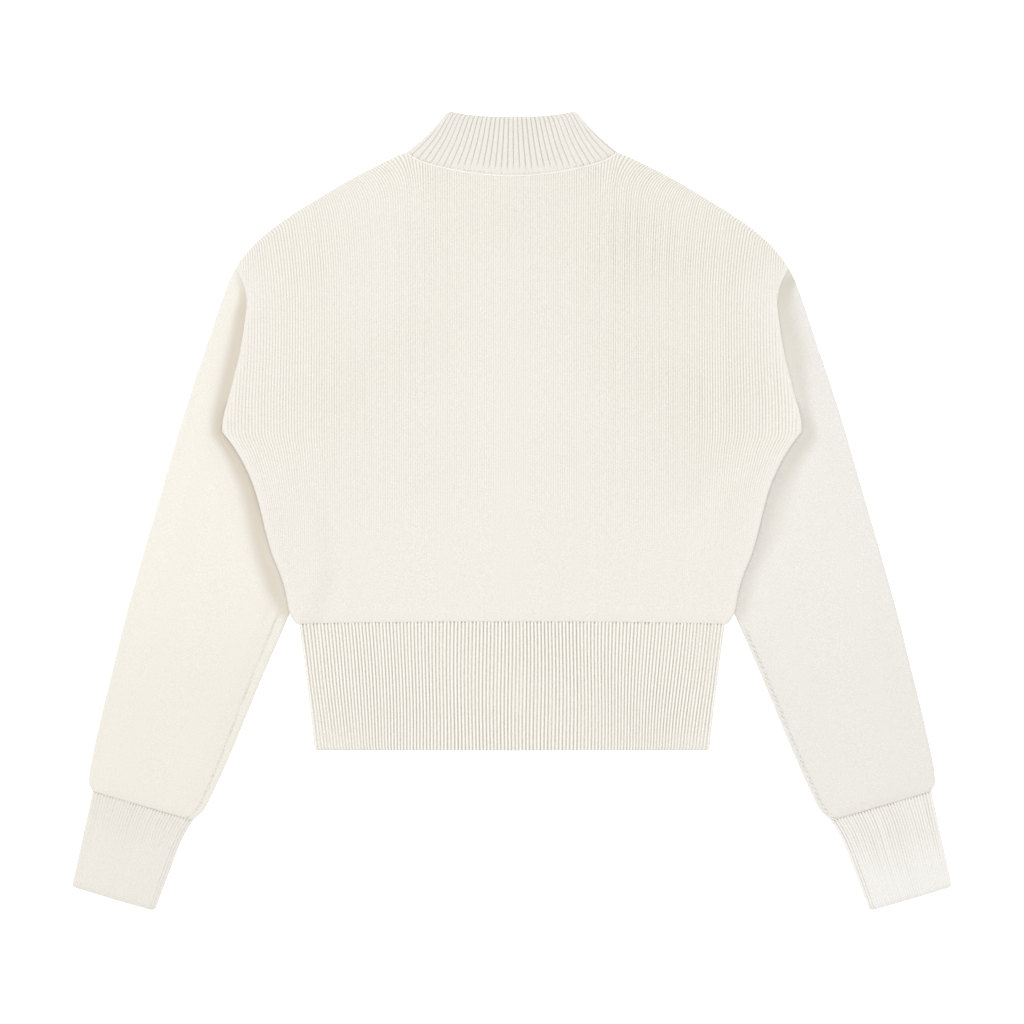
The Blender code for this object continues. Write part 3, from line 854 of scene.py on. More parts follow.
@dataclass(frozen=True)
class KnitFinish:
    """Brushed cotton and wool yarn, knitted: rows of slanting loops with a little fuzz."""

    name: str
    yarn: Colour = (0.8535, 0.829, 0.773)
    # groove and valley are colours of painted shade: in the knit's grooves, linking holes and seam gaps, and
    # on the sleeves beside the body's edge
    groove: Colour = (0.46, 0.41, 0.325)
    valley: Colour = (0.665, 0.605, 0.512)
    loop_height: float = 0.00035
    loop_strength: float = 0.35
    mottle: float = 0.5
    speckle: float = 0.9

    def material(self) -> bpy.types.Material:
        """Make the finish.

        Returns:
            Its material.
        """
        graph = Graph(self.name)
        wale, course = graph.stitches()
        across = abs(wale.fraction() - 0.5) * 2.0
        turn = (course + across * 0.5).fraction()
        loops = ((turn - 0.5) * (2.0 * math.pi)).cosine() * 0.5 + 0.5
        grain = graph.noise(1150.0, 2.0)
        cloud = graph.noise(16.0, 2.0)
        height = (1.0 - across * across) * 0.45 + loops * 0.4 + grain * 0.5
        tone = graph.blend((cloud * 1.4 - 0.2).clipped() * self.mottle, self.yarn, dimmed(self.yarn, 0.97))
        tone = graph.blend((grain * 3.0 - 1.0).clipped() * self.speckle, tone, dimmed(self.yarn, 0.88))
        # painted shade: the groove attribute darkens grooves, linking holes and seam gaps, and the valley
        # attribute darkens the sleeves beside the body
        tone = graph.blend((graph.attribute("groove") * (grain * 1.6 + 0.2)).clipped(), tone, self.groove)
        tone = graph.blend(graph.attribute("valley").clipped(), tone, self.valley)
        normal = graph.bump(height, self.loop_height, self.loop_strength)
        return graph.dress(Base_Color=tone, Roughness=0.84 + grain * 0.12, Sheen_Weight=0.18,
                           Sheen_Roughness=0.5, Specular_IOR_Level=0.25, Normal=normal)


@dataclass(frozen=True)
class TapeFinish:
    """Woven zip tape with a fine herringbone."""

    name: str
    yarn: Colour = (0.86, 0.82, 0.76)
    shadow: Colour = (0.66, 0.61, 0.54)

    def material(self) -> bpy.types.Material:
        """Make the finish.

        Returns:
            Its material.
        """
        graph = Graph(self.name)
        across, along = graph.stitches()
        zigzag = abs(((across * 0.25).fraction() - 0.5)) * 4.0
        twill = (((along + zigzag).fraction() - 0.5) * (2.0 * math.pi)).cosine() * 0.5 + 0.5
        fuzz = graph.noise(1800.0, 2.0)
        tone = graph.blend(twill * 0.35 + fuzz * 0.2, self.yarn, self.shadow)
        return graph.dress(Base_Color=tone, Roughness=0.72 + fuzz * 0.15, Specular_IOR_Level=0.3,
                           Normal=graph.bump(twill + fuzz * 0.3, 0.00016, 0.5))


@dataclass(frozen=True)
class MetalFinish:
    """Brushed, slightly worn nickel-plated metal."""

    name: str
    metal: Colour = (0.70, 0.69, 0.66)
    worn: Colour = (0.52, 0.50, 0.47)
    brushed: tuple[float, float, float] = (1.0, 0.06, 1.0)

    def material(self) -> bpy.types.Material:
        """Make the finish.

        Returns:
            Its material.
        """
        graph = Graph(self.name)
        lines = graph.noise(2600.0, 2.0, self.brushed)
        patches = graph.noise(420.0, 3.0)
        wear = (patches * 2.2 - 0.9).clipped()
        tone = graph.blend(wear * 0.6 + lines * 0.15, self.metal, self.worn)
        return graph.dress(Base_Color=tone, Metallic=1.0, Roughness=0.22 + lines * 0.16 + wear * 0.12,
                           Normal=graph.bump(lines, 0.00005, 0.3))


@dataclass(frozen=True)
class PaperFinish:
    """The plain pale floor, lit through from below."""

    name: str = "floor_paper"
    colour: Colour = (0.9, 0.9, 0.9)
    glow: float = 0.45

    def material(self) -> bpy.types.Material:
        """Make the finish.

        Returns:
            Its material.
        """
        graph = Graph(self.name)
        grain = graph.noise(90.0, 2.0)
        tone = graph.blend(grain * 0.2, self.colour, dimmed(self.colour, 0.99))
        return graph.dress(Base_Color=tone, Roughness=0.95, Specular_IOR_Level=0.0,
                           Emission_Strength=self.glow, Emission_Color=(1.0, 1.0, 1.0, 1.0),
                           Normal=graph.bump(grain, 0.0002, 0.05))


@dataclass
class BodyPanel:
    """A body panel: the whole back, or one front beside the zip."""

    node: str
    neck: Line
    centre: float
    layer: Layer
    sides: tuple[Side, ...]
    material: bpy.types.Material
    rests_on: tuple[str, ...] = ()
    wales: int = 115
    courses: float = 1.6
    depth: float = 0.5
    reference: float = 225.0
    pull_from: float = 0.62
    crowded_strip: float = 4.0
    hem: float = WAISTBAND[0][1] + TOUCH
    underarm: float = 68.4
    tip: float = 207.0
    rib: Rib = Rib((0.0, 0.34, 0.67), 0.6)
    inner_steps: tuple[int, int] = (1, 3)
    climb_rows: int = 40
    hem_rows: int = 30
    most_depth: float = 0.62
    # painted shade in the wales' grooves and a share of it over flat knit; edge_light draws it back beside
    # the side fold and armhole
    groove_shade: float = 0.52
    flat_shade: float = 0.275
    edge_light: float = 0.35

    def top(self, x: Array) -> Array:
        """The y of the neck and shoulder line at an x."""
        neck = self.neck.y_at(x) - TOUCH
        return np.where(x < NECK_POINT[0], neck, LIE.shoulder.y_at(x))

    def columns(self) -> Array:
        """Shares of the half width at the columns, from the centre."""
        return self.rib.shares(self.wales)

    def _slant(self, x: Array, depth: Array) -> Array:
        """How far the wales lean outwards just below the shoulder and beside the neck.

        Args:
            x: the x at which each wale meets the neck and shoulder line.
            depth: how far the points lie below that line.

        Returns:
            The shift in x.
        """
        beside_neck = ramp(x, 72.0, 95.0) * (1.0 - ramp(x, 100.0, 170.0))
        on_shoulder = ramp(x, 92.0, 132.0)
        tip = smooth((LIE.shoulder.x[-1] - x) / 40.0)
        near, far, last = (np.clip(1.0 - depth / reach, 0.0, 1.0) for reach in (33.0, 95.0, 5.5))
        fan = 12.5 * beside_neck * near ** 2
        lean = 8.0 * ramp(x, 40.0, 170.0) * far ** 2
        turn = 1.9 * on_shoulder * last
        return tip * (fan + lean + turn)

    def _held_in(self, x: Array, edge: Array, last: Array) -> Array:
        """Crowd the wales that run off the panel into a narrow strip along its edge.

        Args:
            x: where the wales run.
            edge: the edge's x in each row.
            last: the outermost wale's x in each row.

        Returns:
            The wales' x, at most the edge's.
        """
        strip = self.crowded_strip
        left = strip / (1.0 + np.clip(strip - edge + x, 0.0, None) / strip)
        least = strip / (1.0 + (strip - edge + last) / strip)
        crowded = edge - (left - least) * strip / (strip - least)
        return np.where(x > edge - strip, crowded, x)

    def half(self) -> tuple[Array, Array, Array]:
        """The points of a right half.

        Returns:
            x, y and the wale number of each point, rows from the hem up.
        """
        share = self.columns()[None, :]
        pull = np.clip((share - self.pull_from) / (1.0 - self.pull_from), 0.0, 1.0) ** 2
        low = self.hem + spread(self.underarm - self.hem, [0.0, 0.4, 0.9, 1.6, 2.6, 4.2, 6.8], [0.0],
                                self.hem_rows)
        below_tip = [0.0, 0.0015, 0.003, 0.005, 0.0075, 0.0105, 0.014, 0.02, 0.028, 0.04, 0.06]
        climb = spread(1.0, [0.0], below_tip, self.climb_rows)[1:]
        level = np.concatenate([low, self.underarm + climb * (self.tip - self.underarm)])
        edge = np.concatenate([LIE.side_fold.x_at(low), LIE.armhole.x_at(level[len(low):]) - TOUCH])
        rows = np.array(LAST_WALE)
        last = eased(rows[:, 0], rows[:, 1], level)[:, None]
        x = self.centre + (self.reference - self.centre) * share + (last - self.reference) * pull
        x = self._held_in(x, edge[:, None], last)
        y = np.repeat(low[:, None], share.size, 1)
        meets = np.minimum(x[-1:, :], LIE.shoulder.x[-1])
        depth = (1.0 - climb[:, None]) * (self.top(meets) - self.underarm)
        slant = self._slant(meets, depth)
        x[len(low):] += slant
        high = self.top(np.minimum(meets + slant, LIE.shoulder.x[-1])) - depth
        return x, np.concatenate([y, high]), np.repeat(share * self.wales, len(edge), 0)

    def wale_depth(self, x: Array, y: Array, wale: Array, side: Side) -> Array:
        """How deep the wales stand: flat towards the middle of the hem and beside the sleeves.

        Args:
            x: the points' x on a right half.
            y: the points' y.
            wale: the number of each point's wale.
            side: the side that the points are for; its lower half is plainer on the right.

        Returns:
            The depth of the grooves.
        """
        # faded towards the hem, apart from a strip beside the side fold
        edge = LIE.edge_distance(x, y)
        low = 1.0 - ramp(y, -10.0, 60.0)
        kept = 1.0 - (0.75 if side is Side.RIGHT else 0.3) * low
        by_side = kept * np.maximum(bell(edge, 42.0) * ramp(y, -80.0, -10.0), 0.7 * bell(edge, 13.0))
        fade = ramp(y, -48.0, 74.0)
        # deeper at the top, towards the sides and beside the neck
        upwards = ramp(y, 95.0, 215.0)
        sideways = 1.0 - ramp(edge, 100.0, 210.0)
        beside_neck = bell(self.top(x) - y, 24.0) * bell(x - 75.0, 42.0)
        patch = 0.84 + 0.16 * np.sin(x / 31.0 + y / 47.0) * np.cos(y / 29.0 - x / 53.0)
        reach = 0.48 + 0.62 * sideways + 0.50 * upwards * (1.0 - 0.7 * sideways) + 0.65 * beside_neck
        # plainer below the middle of the shoulder and round its tip
        plain_here = 0.42 if side is Side.LEFT else 0.05
        plainer = plain_here * ramp(y, 150.0, 190.0) * bell(x - 108.0, 36.0) * (1.0 - beside_neck)
        near_tip = 0.55 * bell(np.hypot(x - 226.0, 1.1 * (y - 190.0)), 34.0)
        # the wales stand a little deeper on the right and shallower on the left, which also deepens the
        # painted shade in their grooves on the right
        right_side_deeper = 1.0 + 0.08 * side.value * ramp(x, 60.0, 120.0)
        reach = reach * (1.0 - plainer) * (1.0 - near_tip) * right_side_deeper
        reach = reach * (0.10 + 0.90 * np.maximum(fade, 0.85 * by_side)) * (0.2 + 0.8 * ramp(edge, 1.0, 5.5))
        # the seam of the neck holds the wales flat
        rolled = 0.1 + 0.9 * smooth((self.from_neck(x, y) - 1.3) / 0.8)
        return self.depth * patch * reach * rolled * uneven(wale, 11, 0.14)

    def from_neck(self, x: Array, y: Array) -> Array:
        """How far points lie below the neck seam."""
        return np.where(x < NECK_POINT[0] + 2.0, self.top(np.minimum(x, NECK_POINT[0])) - y, 99.0)

    def base(self, x: Array, y: Array) -> tuple[Array, Array]:
        """Heights of the inner face and of the plain outer face at points of a right half.

        Args:
            x: the points' x.
            y: the points' y.

        Returns:
            The inner height and the outer height.
        """
        fold = np.minimum(LIE.side_fold.distance(x, y), LIE.shoulder.distance(x, y))
        thick = LIE.wall * LIE.rounding(fold)
        lift = LIE.body_lift(x, y) + LIE.edge_roll(x, y, self.layer)
        if self.layer is Layer.LOWER:
            return LIE.wall + lift, LIE.wall + lift - thick
        inside = LIE.wall + LIE.layer_room(x) + lift
        armhole = LIE.armhole.distance(x, y)
        above_hem = y - self.hem
        puff = 0.8 * bell(above_hem - 6.0, 6.0)
        seams = 0.12 * (1.0 - ramp(armhole, 0.0, 1.6)) - 0.45 * bell(self.from_neck(x, y) - 0.7, 0.8)
        return inside, inside + thick + puff - seams - 0.2 * (1.0 - ramp(above_hem, 0.0, 1.2))

    def neck_chain(self, below: float = 0.75) -> Array:
        """Points of the chain of loops just below the neck seam.

        Args:
            below: how far below the seam it runs.

        Returns:
            The points from left to right.
        """
        half = np.linspace(0.0, NECK_POINT[0] - 2.0, 40)
        x = np.concatenate([-half[:0:-1], half])
        y = self.top(np.abs(x)) - below
        _, outside = self.base(np.abs(x), y)
        return np.stack([x, y, outside + 0.15], -1)

    def build(self) -> bpy.types.Object:
        """Make the panel.

        Returns:
            The piece.
        """
        x, y, wale = self.half()
        inside, outside = self.base(x, y)
        profile = self.rib.profile(wale)
        bowed = y + LIE.hem_bow(x, y)
        # painted highlight: the painted groove shade is weaker along the side fold and armhole
        light = 1.0 - self.edge_light * bell(LIE.edge_distance(x, y), 7.0)
        grids = []
        for side in self.sides:
            order = slice(None, None, -1) if side is Side.LEFT else slice(None)
            sign = side.value
            depth = self.wale_depth(x, y, wale, side)
            if self.layer is Layer.UPPER:
                ribbed = outside + np.minimum(depth, self.most_depth) * (profile - 0.5)
            else:
                ribbed = outside + depth * (1.0 - profile)
            worn = np.minimum(depth / self.depth, 1.7)
            # painted shade in the grooves, scaled by how deep the wales stand, with flat_shade spread over
            # plainer knit
            groove = light * self.groove_shade * ((1.0 - profile) * worn + self.flat_shade * (1.0 - worn))
            grids.append([np.stack([sign * x, bowed, heights], -1)[:, order] for heights in (ribbed, inside)]
                         + [np.stack([sign * wale, bowed * self.courses], -1)[:, order], groove[:, order]])
        if len(grids) == 2:
            joined = [np.concatenate([left[:, :-1], right], 1) for left, right in zip(*grids)]
        else:
            joined = grids[0]
        shell = Shell(self.node + "_knit", joined[0], joined[1], joined[2], False, self.inner_steps)
        shell.shade("groove", joined[3])
        shell.shade("valley", np.zeros_like(joined[3]))
        obj = shell.build(self.material)
        width = (np.max(x) - self.centre) * len(self.sides)
        return tie_cloth(obj, self.node, (width, np.max(bowed) - self.hem), shell.flat_area(),
                         self.rests_on)


def tube(sign: float, x: Array, y: Array, top: Array, low: Array, push: Array) -> Array:
    """Points once round a flattened tube, over its upper layer and back under its lower one.

    Args:
        sign: the side's sign.
        x: x of a layer's points, columns from the outer fold to the inner one.
        y: their y.
        top: their height in the upper layer.
        low: their height in the lower layer.
        push: how far the folds stand out beyond them in each row, as a step towards the outer fold.

    Returns:
        The points of each row.
    """
    middle = LIE.wall + LIE.gap / 2 + 0.0 * x[:, 0]
    inner_end = np.stack([sign * (x[:, -1] - push[:, 0]), y[:, -1] - push[:, 1], middle], -1)
    outer_end = np.stack([sign * (x[:, 0] + push[:, 0]), y[:, 0] + push[:, 1], middle], -1)
    return np.concatenate([np.stack([sign * x, y, top], -1), inner_end[:, None],
                           np.stack([sign * x, y, low], -1)[:, ::-1], outer_end[:, None]], 1)


def round_tube(upper: Array, lower: Array) -> Array:
    """Shades of both layers in the order of a tube's points; its folds have none."""
    fold = np.zeros((len(upper), 1))
    return np.concatenate([upper, fold, lower, fold], 1)


@dataclass(frozen=True)
class SleeveForm:
    """What only one of the two sleeves has: the place of its seam, its creases and its painted shades.

    Each row of shades is a y and how wide, how soft and how strong the painted shade beside the body is
    there.
    """

    seam_inset: tuple[float, float]
    seam_top: float
    creases: tuple[Crease, ...]
    shades: tuple[tuple[float, float, float, float], ...]
    # lower_shade is painted shade towards the cuff; below light_below, edge_light draws the painted shade
    # back right at the body's edge
    lower_shade: float
    light_below: float
    edge_light: float


SLEEVE_FORMS = {
    Side.LEFT: SleeveForm(
        (10.6, 5.2), -84.0,
        (Crease((-246.0, 40.0), (-262.0, -60.0), 9.0, 0.5, 4.0),
         Crease((-196.0, -70.0), (-214.0, -96.0), 3.2, -0.8, 1.0),
         Crease((-187.0, -62.0), (-205.0, -84.0), 2.8, 0.7, -1.0),
         Crease((-300.0, -60.0), (-322.0, -150.0), 12.0, -0.5, -5.0),
         Crease((-262.0, -205.0), (-300.0, -225.0), 7.0, 0.4, 2.0)),
        ((-99.0, 1.0, 10.0, 0.0), (-86.0, 2.0, 13.0, 0.9), (-66.0, 9.5, 12.0, 0.88),
         (-16.0, 7.5, 12.5, 0.84), (35.0, 6.5, 10.5, 0.86), (60.0, 5.0, 8.5, 0.92),
         (88.0, 5.0, 9.5, 0.82), (140.0, 4.8, 10.5, 0.97), (171.0, 5.0, 8.0, 1.0),
         (184.0, 2.5, 6.0, 0.95), (198.0, 0.8, 5.0, 0.4), (206.0, 0.0, 5.0, 0.0)),
        0.15, -40.0, 0.45),
    Side.RIGHT: SleeveForm(
        (3.4, 3.6), -98.0,
        (Crease((248.0, 36.0), (266.0, -70.0), 10.0, 0.4, -4.0),
         Crease((196.0, -72.0), (216.0, -92.0), 3.2, -0.6, 1.0),
         Crease((296.0, -40.0), (318.0, -140.0), 13.0, -0.5, 5.0),
         Crease((300.0, -210.0), (330.0, -196.0), 8.0, 0.3, -2.0)),
        ((-99.0, 1.0, 10.0, 0.0), (-84.0, 3.0, 14.0, 0.5), (-42.0, 3.0, 15.0, 0.5),
         (-16.0, 5.0, 22.0, 0.42), (9.0, 6.0, 22.0, 0.45), (35.0, 10.0, 12.0, 0.55),
         (60.0, 9.5, 10.0, 0.58), (86.0, 4.5, 9.5, 0.5), (137.0, 10.0, 15.0, 0.56),
         (171.0, 5.0, 18.0, 0.78), (183.0, 6.0, 14.0, 0.95), (196.0, 9.0, 4.0, 1.0),
         (206.0, 9.0, 4.0, 0.5)),
        0.1, 80.0, 0.95)}


@dataclass
class Sleeve:
    """A sleeve: a flattened tube from the armhole to the cuff, partly under the body."""

    side: Side
    material: bpy.types.Material
    form: SleeveForm
    seam_gaps: float = 6.5
    fold_reach: float = 0.35
    fullness: float = 3.0
    steps: int = 8
    outer_columns: int = 48
    seam_columns: int = 16
    wale: float = 1.25
    course: float = 0.95
    seam: Array = field(default_factory=lambda: np.zeros((0, 3)))

    def _sections(self) -> tuple[Array, Array, Array]:
        """The two ends of each section, and how far it still bows as the armhole does.

        Returns:
            The outer ends, the inner ends and the bow's shares.
        """
        at = np.arange(len(SLEEVE), dtype=float)
        asked = np.linspace(0.0, at[-1], self.steps * (len(SLEEVE) - 1) + 1)
        table = np.array(SLEEVE)
        ends = [[eased(at, table[:, end, axis], asked) for axis in (0, 1)] for end in (0, 1)]
        bow = np.where(asked < 8.0, 0.6 ** asked, 0.0)
        return np.array(ends[0]).T, np.array(ends[1]).T, bow

    def _across(self, share: Array) -> tuple[Array, Array]:
        """The points of every section at a share for each row and column.

        Args:
            share: shares from the outer fold to the inner one.

        Returns:
            Their x and y.
        """
        start, end, bow = self._sections()
        armhole_x, armhole_y = LIE.armhole.at(share)
        straight_x = ARMHOLE[0][0] + share * (ARMHOLE[-1][0] - ARMHOLE[0][0])
        straight_y = ARMHOLE[0][1] + share * (ARMHOLE[-1][1] - ARMHOLE[0][1])
        x = start[:, :1] + share * (end[:, :1] - start[:, :1]) + (armhole_x - straight_x) * bow[:, None]
        y = start[:, 1:] + share * (end[:, 1:] - start[:, 1:]) + (armhole_y - straight_y) * bow[:, None]
        last = (np.arange(len(start)) == len(start) - 1)[:, None]
        return x + np.where(last, 0.08, TOUCH), y - np.where(last, 0.28, 0.0)

    def _shares(self) -> Array:
        """Column shares from the outer fold over the seam to the inner fold, for each row.

        Returns:
            The shares.
        """
        start, end, _ = self._sections()
        width = np.hypot(*(end - start).T)
        down = np.linspace(0.0, 1.0, len(width))
        high, low = self.form.seam_inset
        inset = high + (low - high) * ramp(down, 0.5, 0.95)
        inset = inset + 0.35 * np.sin(down * 190.0) * np.sin(down * 61.0 + 1.0)
        seam = 1.0 - np.minimum(0.2, inset / width)[:, None]
        fine = 0.5 - 0.5 * np.cos(np.pi * np.arange(self.outer_columns + 1) / self.outer_columns)
        even = np.arange(self.outer_columns + 1) / self.outer_columns
        first = (0.65 * fine + 0.35 * even)[None, :] * seam
        turn = 0.5 - 0.5 * np.cos(np.pi * np.arange(1, self.seam_columns + 1) / self.seam_columns)
        return np.concatenate([first, seam + (1.0 - seam) * turn[None, :]], 1)

    def _outside_body(self, x: Array, y: Array) -> Array:
        """How far points lie outside the body's edge; 0 where the body covers them."""
        edge = np.where(y < SIDE_FOLD[-1][1], LIE.side_fold.x_at(y), 0.0)
        return np.where((y > SIDE_FOLD[0][1]) & (x < edge), 0.0, LIE.edge_distance(x, y))

    def _valley(self, y: Array, outside_body: Array) -> Array:
        """The painted shade beside the body and on the lower arm.

        Args:
            y: the points' y.
            outside_body: how far they lie outside the body's edge.

        Returns:
            The painted shade of each point.
        """
        form = self.form
        at, *table = np.array(form.shades).T
        width, softness, strength = (np.interp(y, at, values) for values in table)
        # painted shade: colour darkened beside the body's edge, row by row from form.shades
        valley = strength * (1.0 - smooth((outside_body - width) / softness))
        low = 1.0 - smooth((y - form.light_below) / 50.0)
        # painted shade drawn back right at the body's edge low on the arm, where the lifted edge casts a real
        # shadow
        valley = valley * (1.0 - form.edge_light * low * (1.0 - ramp(outside_body, 0.0, 9.0)))
        # plus painted shade that grows towards the cuff
        return valley + form.lower_shade * ramp(y, -20.0, -170.0)

    def _stitches(self, across: Array, along: Array) -> Array:
        """Stitch coordinates once round the tube.

        Args:
            across: how far the upper layer's points lie from the outer fold.
            along: how far each row lies from the armhole.

        Returns:
            Wales across and courses along.
        """
        whole = across[:, -1:]
        across = np.concatenate([across, whole + 1.0, 2.0 + 2.0 * whole - across[:, ::-1], 3.0 + 2.0 * whole,
                                 4.0 + 2.0 * whole], 1)
        return np.stack([across / self.wale, np.repeat(along[:, None], across.shape[1], 1) / self.course], -1)

    def build(self) -> bpy.types.Object:
        """Make the sleeve.

        Returns:
            The piece.
        """
        x, y = self._across(self._shares())
        sign, seam_row = self.side.value, self.outer_columns
        outer_fold, inner_fold, from_seam = (np.hypot(x - x[:, k:k + 1], y - y[:, k:k + 1])
                                             for k in (0, x.shape[1] - 1, seam_row))
        fold = np.minimum(outer_fold, inner_fold)
        outside_body = self._outside_body(x, y)
        free = ramp(outside_body, 1.0, 7.0)
        # the upper layer stands off the lower one away from the body, the folds and the cuff
        to_cuff = np.hypot(x[-1:, :] - x, y[-1:, :] - y)
        end = ramp(to_cuff, 0.0, 16.0)
        clear = ramp(outside_body, 3.0, 27.0) * ramp(fold, 0.0, 26.0)
        room = LIE.gap + 0.7 * ramp(fold, 10.0, 60.0) * end + self.fullness * clear * (0.35 + 0.65 * end)
        puff = 1.0 * bell(to_cuff - 5.0, 5.5) * ramp(fold, 0.0, 5.0)
        tuck = 0.15 * (1.0 - ramp(to_cuff, 0.0, 1.8))
        # the seam lies in a channel beside a soft roll of the inner fold
        channel = 0.25 * bell(from_seam, 0.9) * free
        roll = 0.4 * bell(inner_fold - 0.45 * self.form.seam_inset[1], 2.2) * free
        folds = sum((crease.relief(sign * x, y) for crease in self.form.creases), np.zeros_like(x)) * free
        thick = LIE.wall * LIE.rounding(fold)
        upper_in = LIE.wall + room + folds + puff * 0.7
        upper_out = upper_in + thick + roll - channel - tuck + puff * 0.3
        along = np.concatenate([[0.0], np.cumsum(np.hypot(np.diff(x.mean(1)), np.diff(y.mean(1))))])
        # painted shade in the seam's channel and in the gaps between its stitches
        gaps = linking_holes(along, self.seam_gaps, 31, 1.5)[:, None] * bell(from_seam, 0.75)
        groove = (0.05 * bell(from_seam, 0.9) + 0.7 * gaps) * free * (y < self.form.seam_top)
        start, finish, _ = self._sections()
        push = (start - finish) / np.hypot(*(start - finish).T)[:, None] * self.fold_reach
        outer = tube(sign, x, y, upper_out, LIE.wall - thick, push)
        inner = self._inner(x, y, upper_in, sign)
        node = f"sleeve_{self.side.word}"
        shell = Shell(node + "_knit", outer, inner, self._stitches(outer_fold, along), True, (2, 2))
        plain = np.zeros_like(x)
        shell.shade("groove", round_tube(groove, plain))
        # painted shade beside the body, on the upper layer only
        shell.shade("valley", round_tube(self._valley(y, outside_body), plain))
        shown = y[:, seam_row] < self.form.seam_top
        self.seam = np.stack([sign * x[:, seam_row], y[:, seam_row], upper_out[:, seam_row] + 0.3], -1)[shown]
        cut = (2.0 * np.max(outer_fold[:, -1]), along[-1])
        return tie_cloth(shell.build(self.material), node, cut, shell.flat_area())

    def _inner(self, x: Array, y: Array, upper: Array, sign: float) -> Array:
        """The inner face of the tube, drawn in from both folds by the wall's thickness.

        Args:
            x: x of the outer face's points.
            y: their y.
            upper: the height of the upper layer's inner face.
            sign: the side's sign.

        Returns:
            A point for each outer one.
        """
        start, end = np.stack([x[:, 0], y[:, 0]], -1), np.stack([x[:, -1], y[:, -1]], -1)
        run = end - start
        width = np.hypot(*run.T)
        inset = np.minimum(0.2, LIE.wall * 1.3 / width)[:, None]
        share = np.hypot(x - x[:, :1], y - y[:, :1]) / width[:, None]
        drawn = inset + share * (1.0 - 2.0 * inset)
        bowed_x = x - (start[:, :1] + share * run[:, :1])
        bowed_y = y - (start[:, 1:] + share * run[:, 1:])
        in_x = start[:, :1] + drawn * run[:, :1] + bowed_x
        in_y = start[:, 1:] + drawn * run[:, 1:] + bowed_y
        return tube(sign, in_x, in_y, upper, LIE.wall + 0.0 * in_x, 0.0 * run)


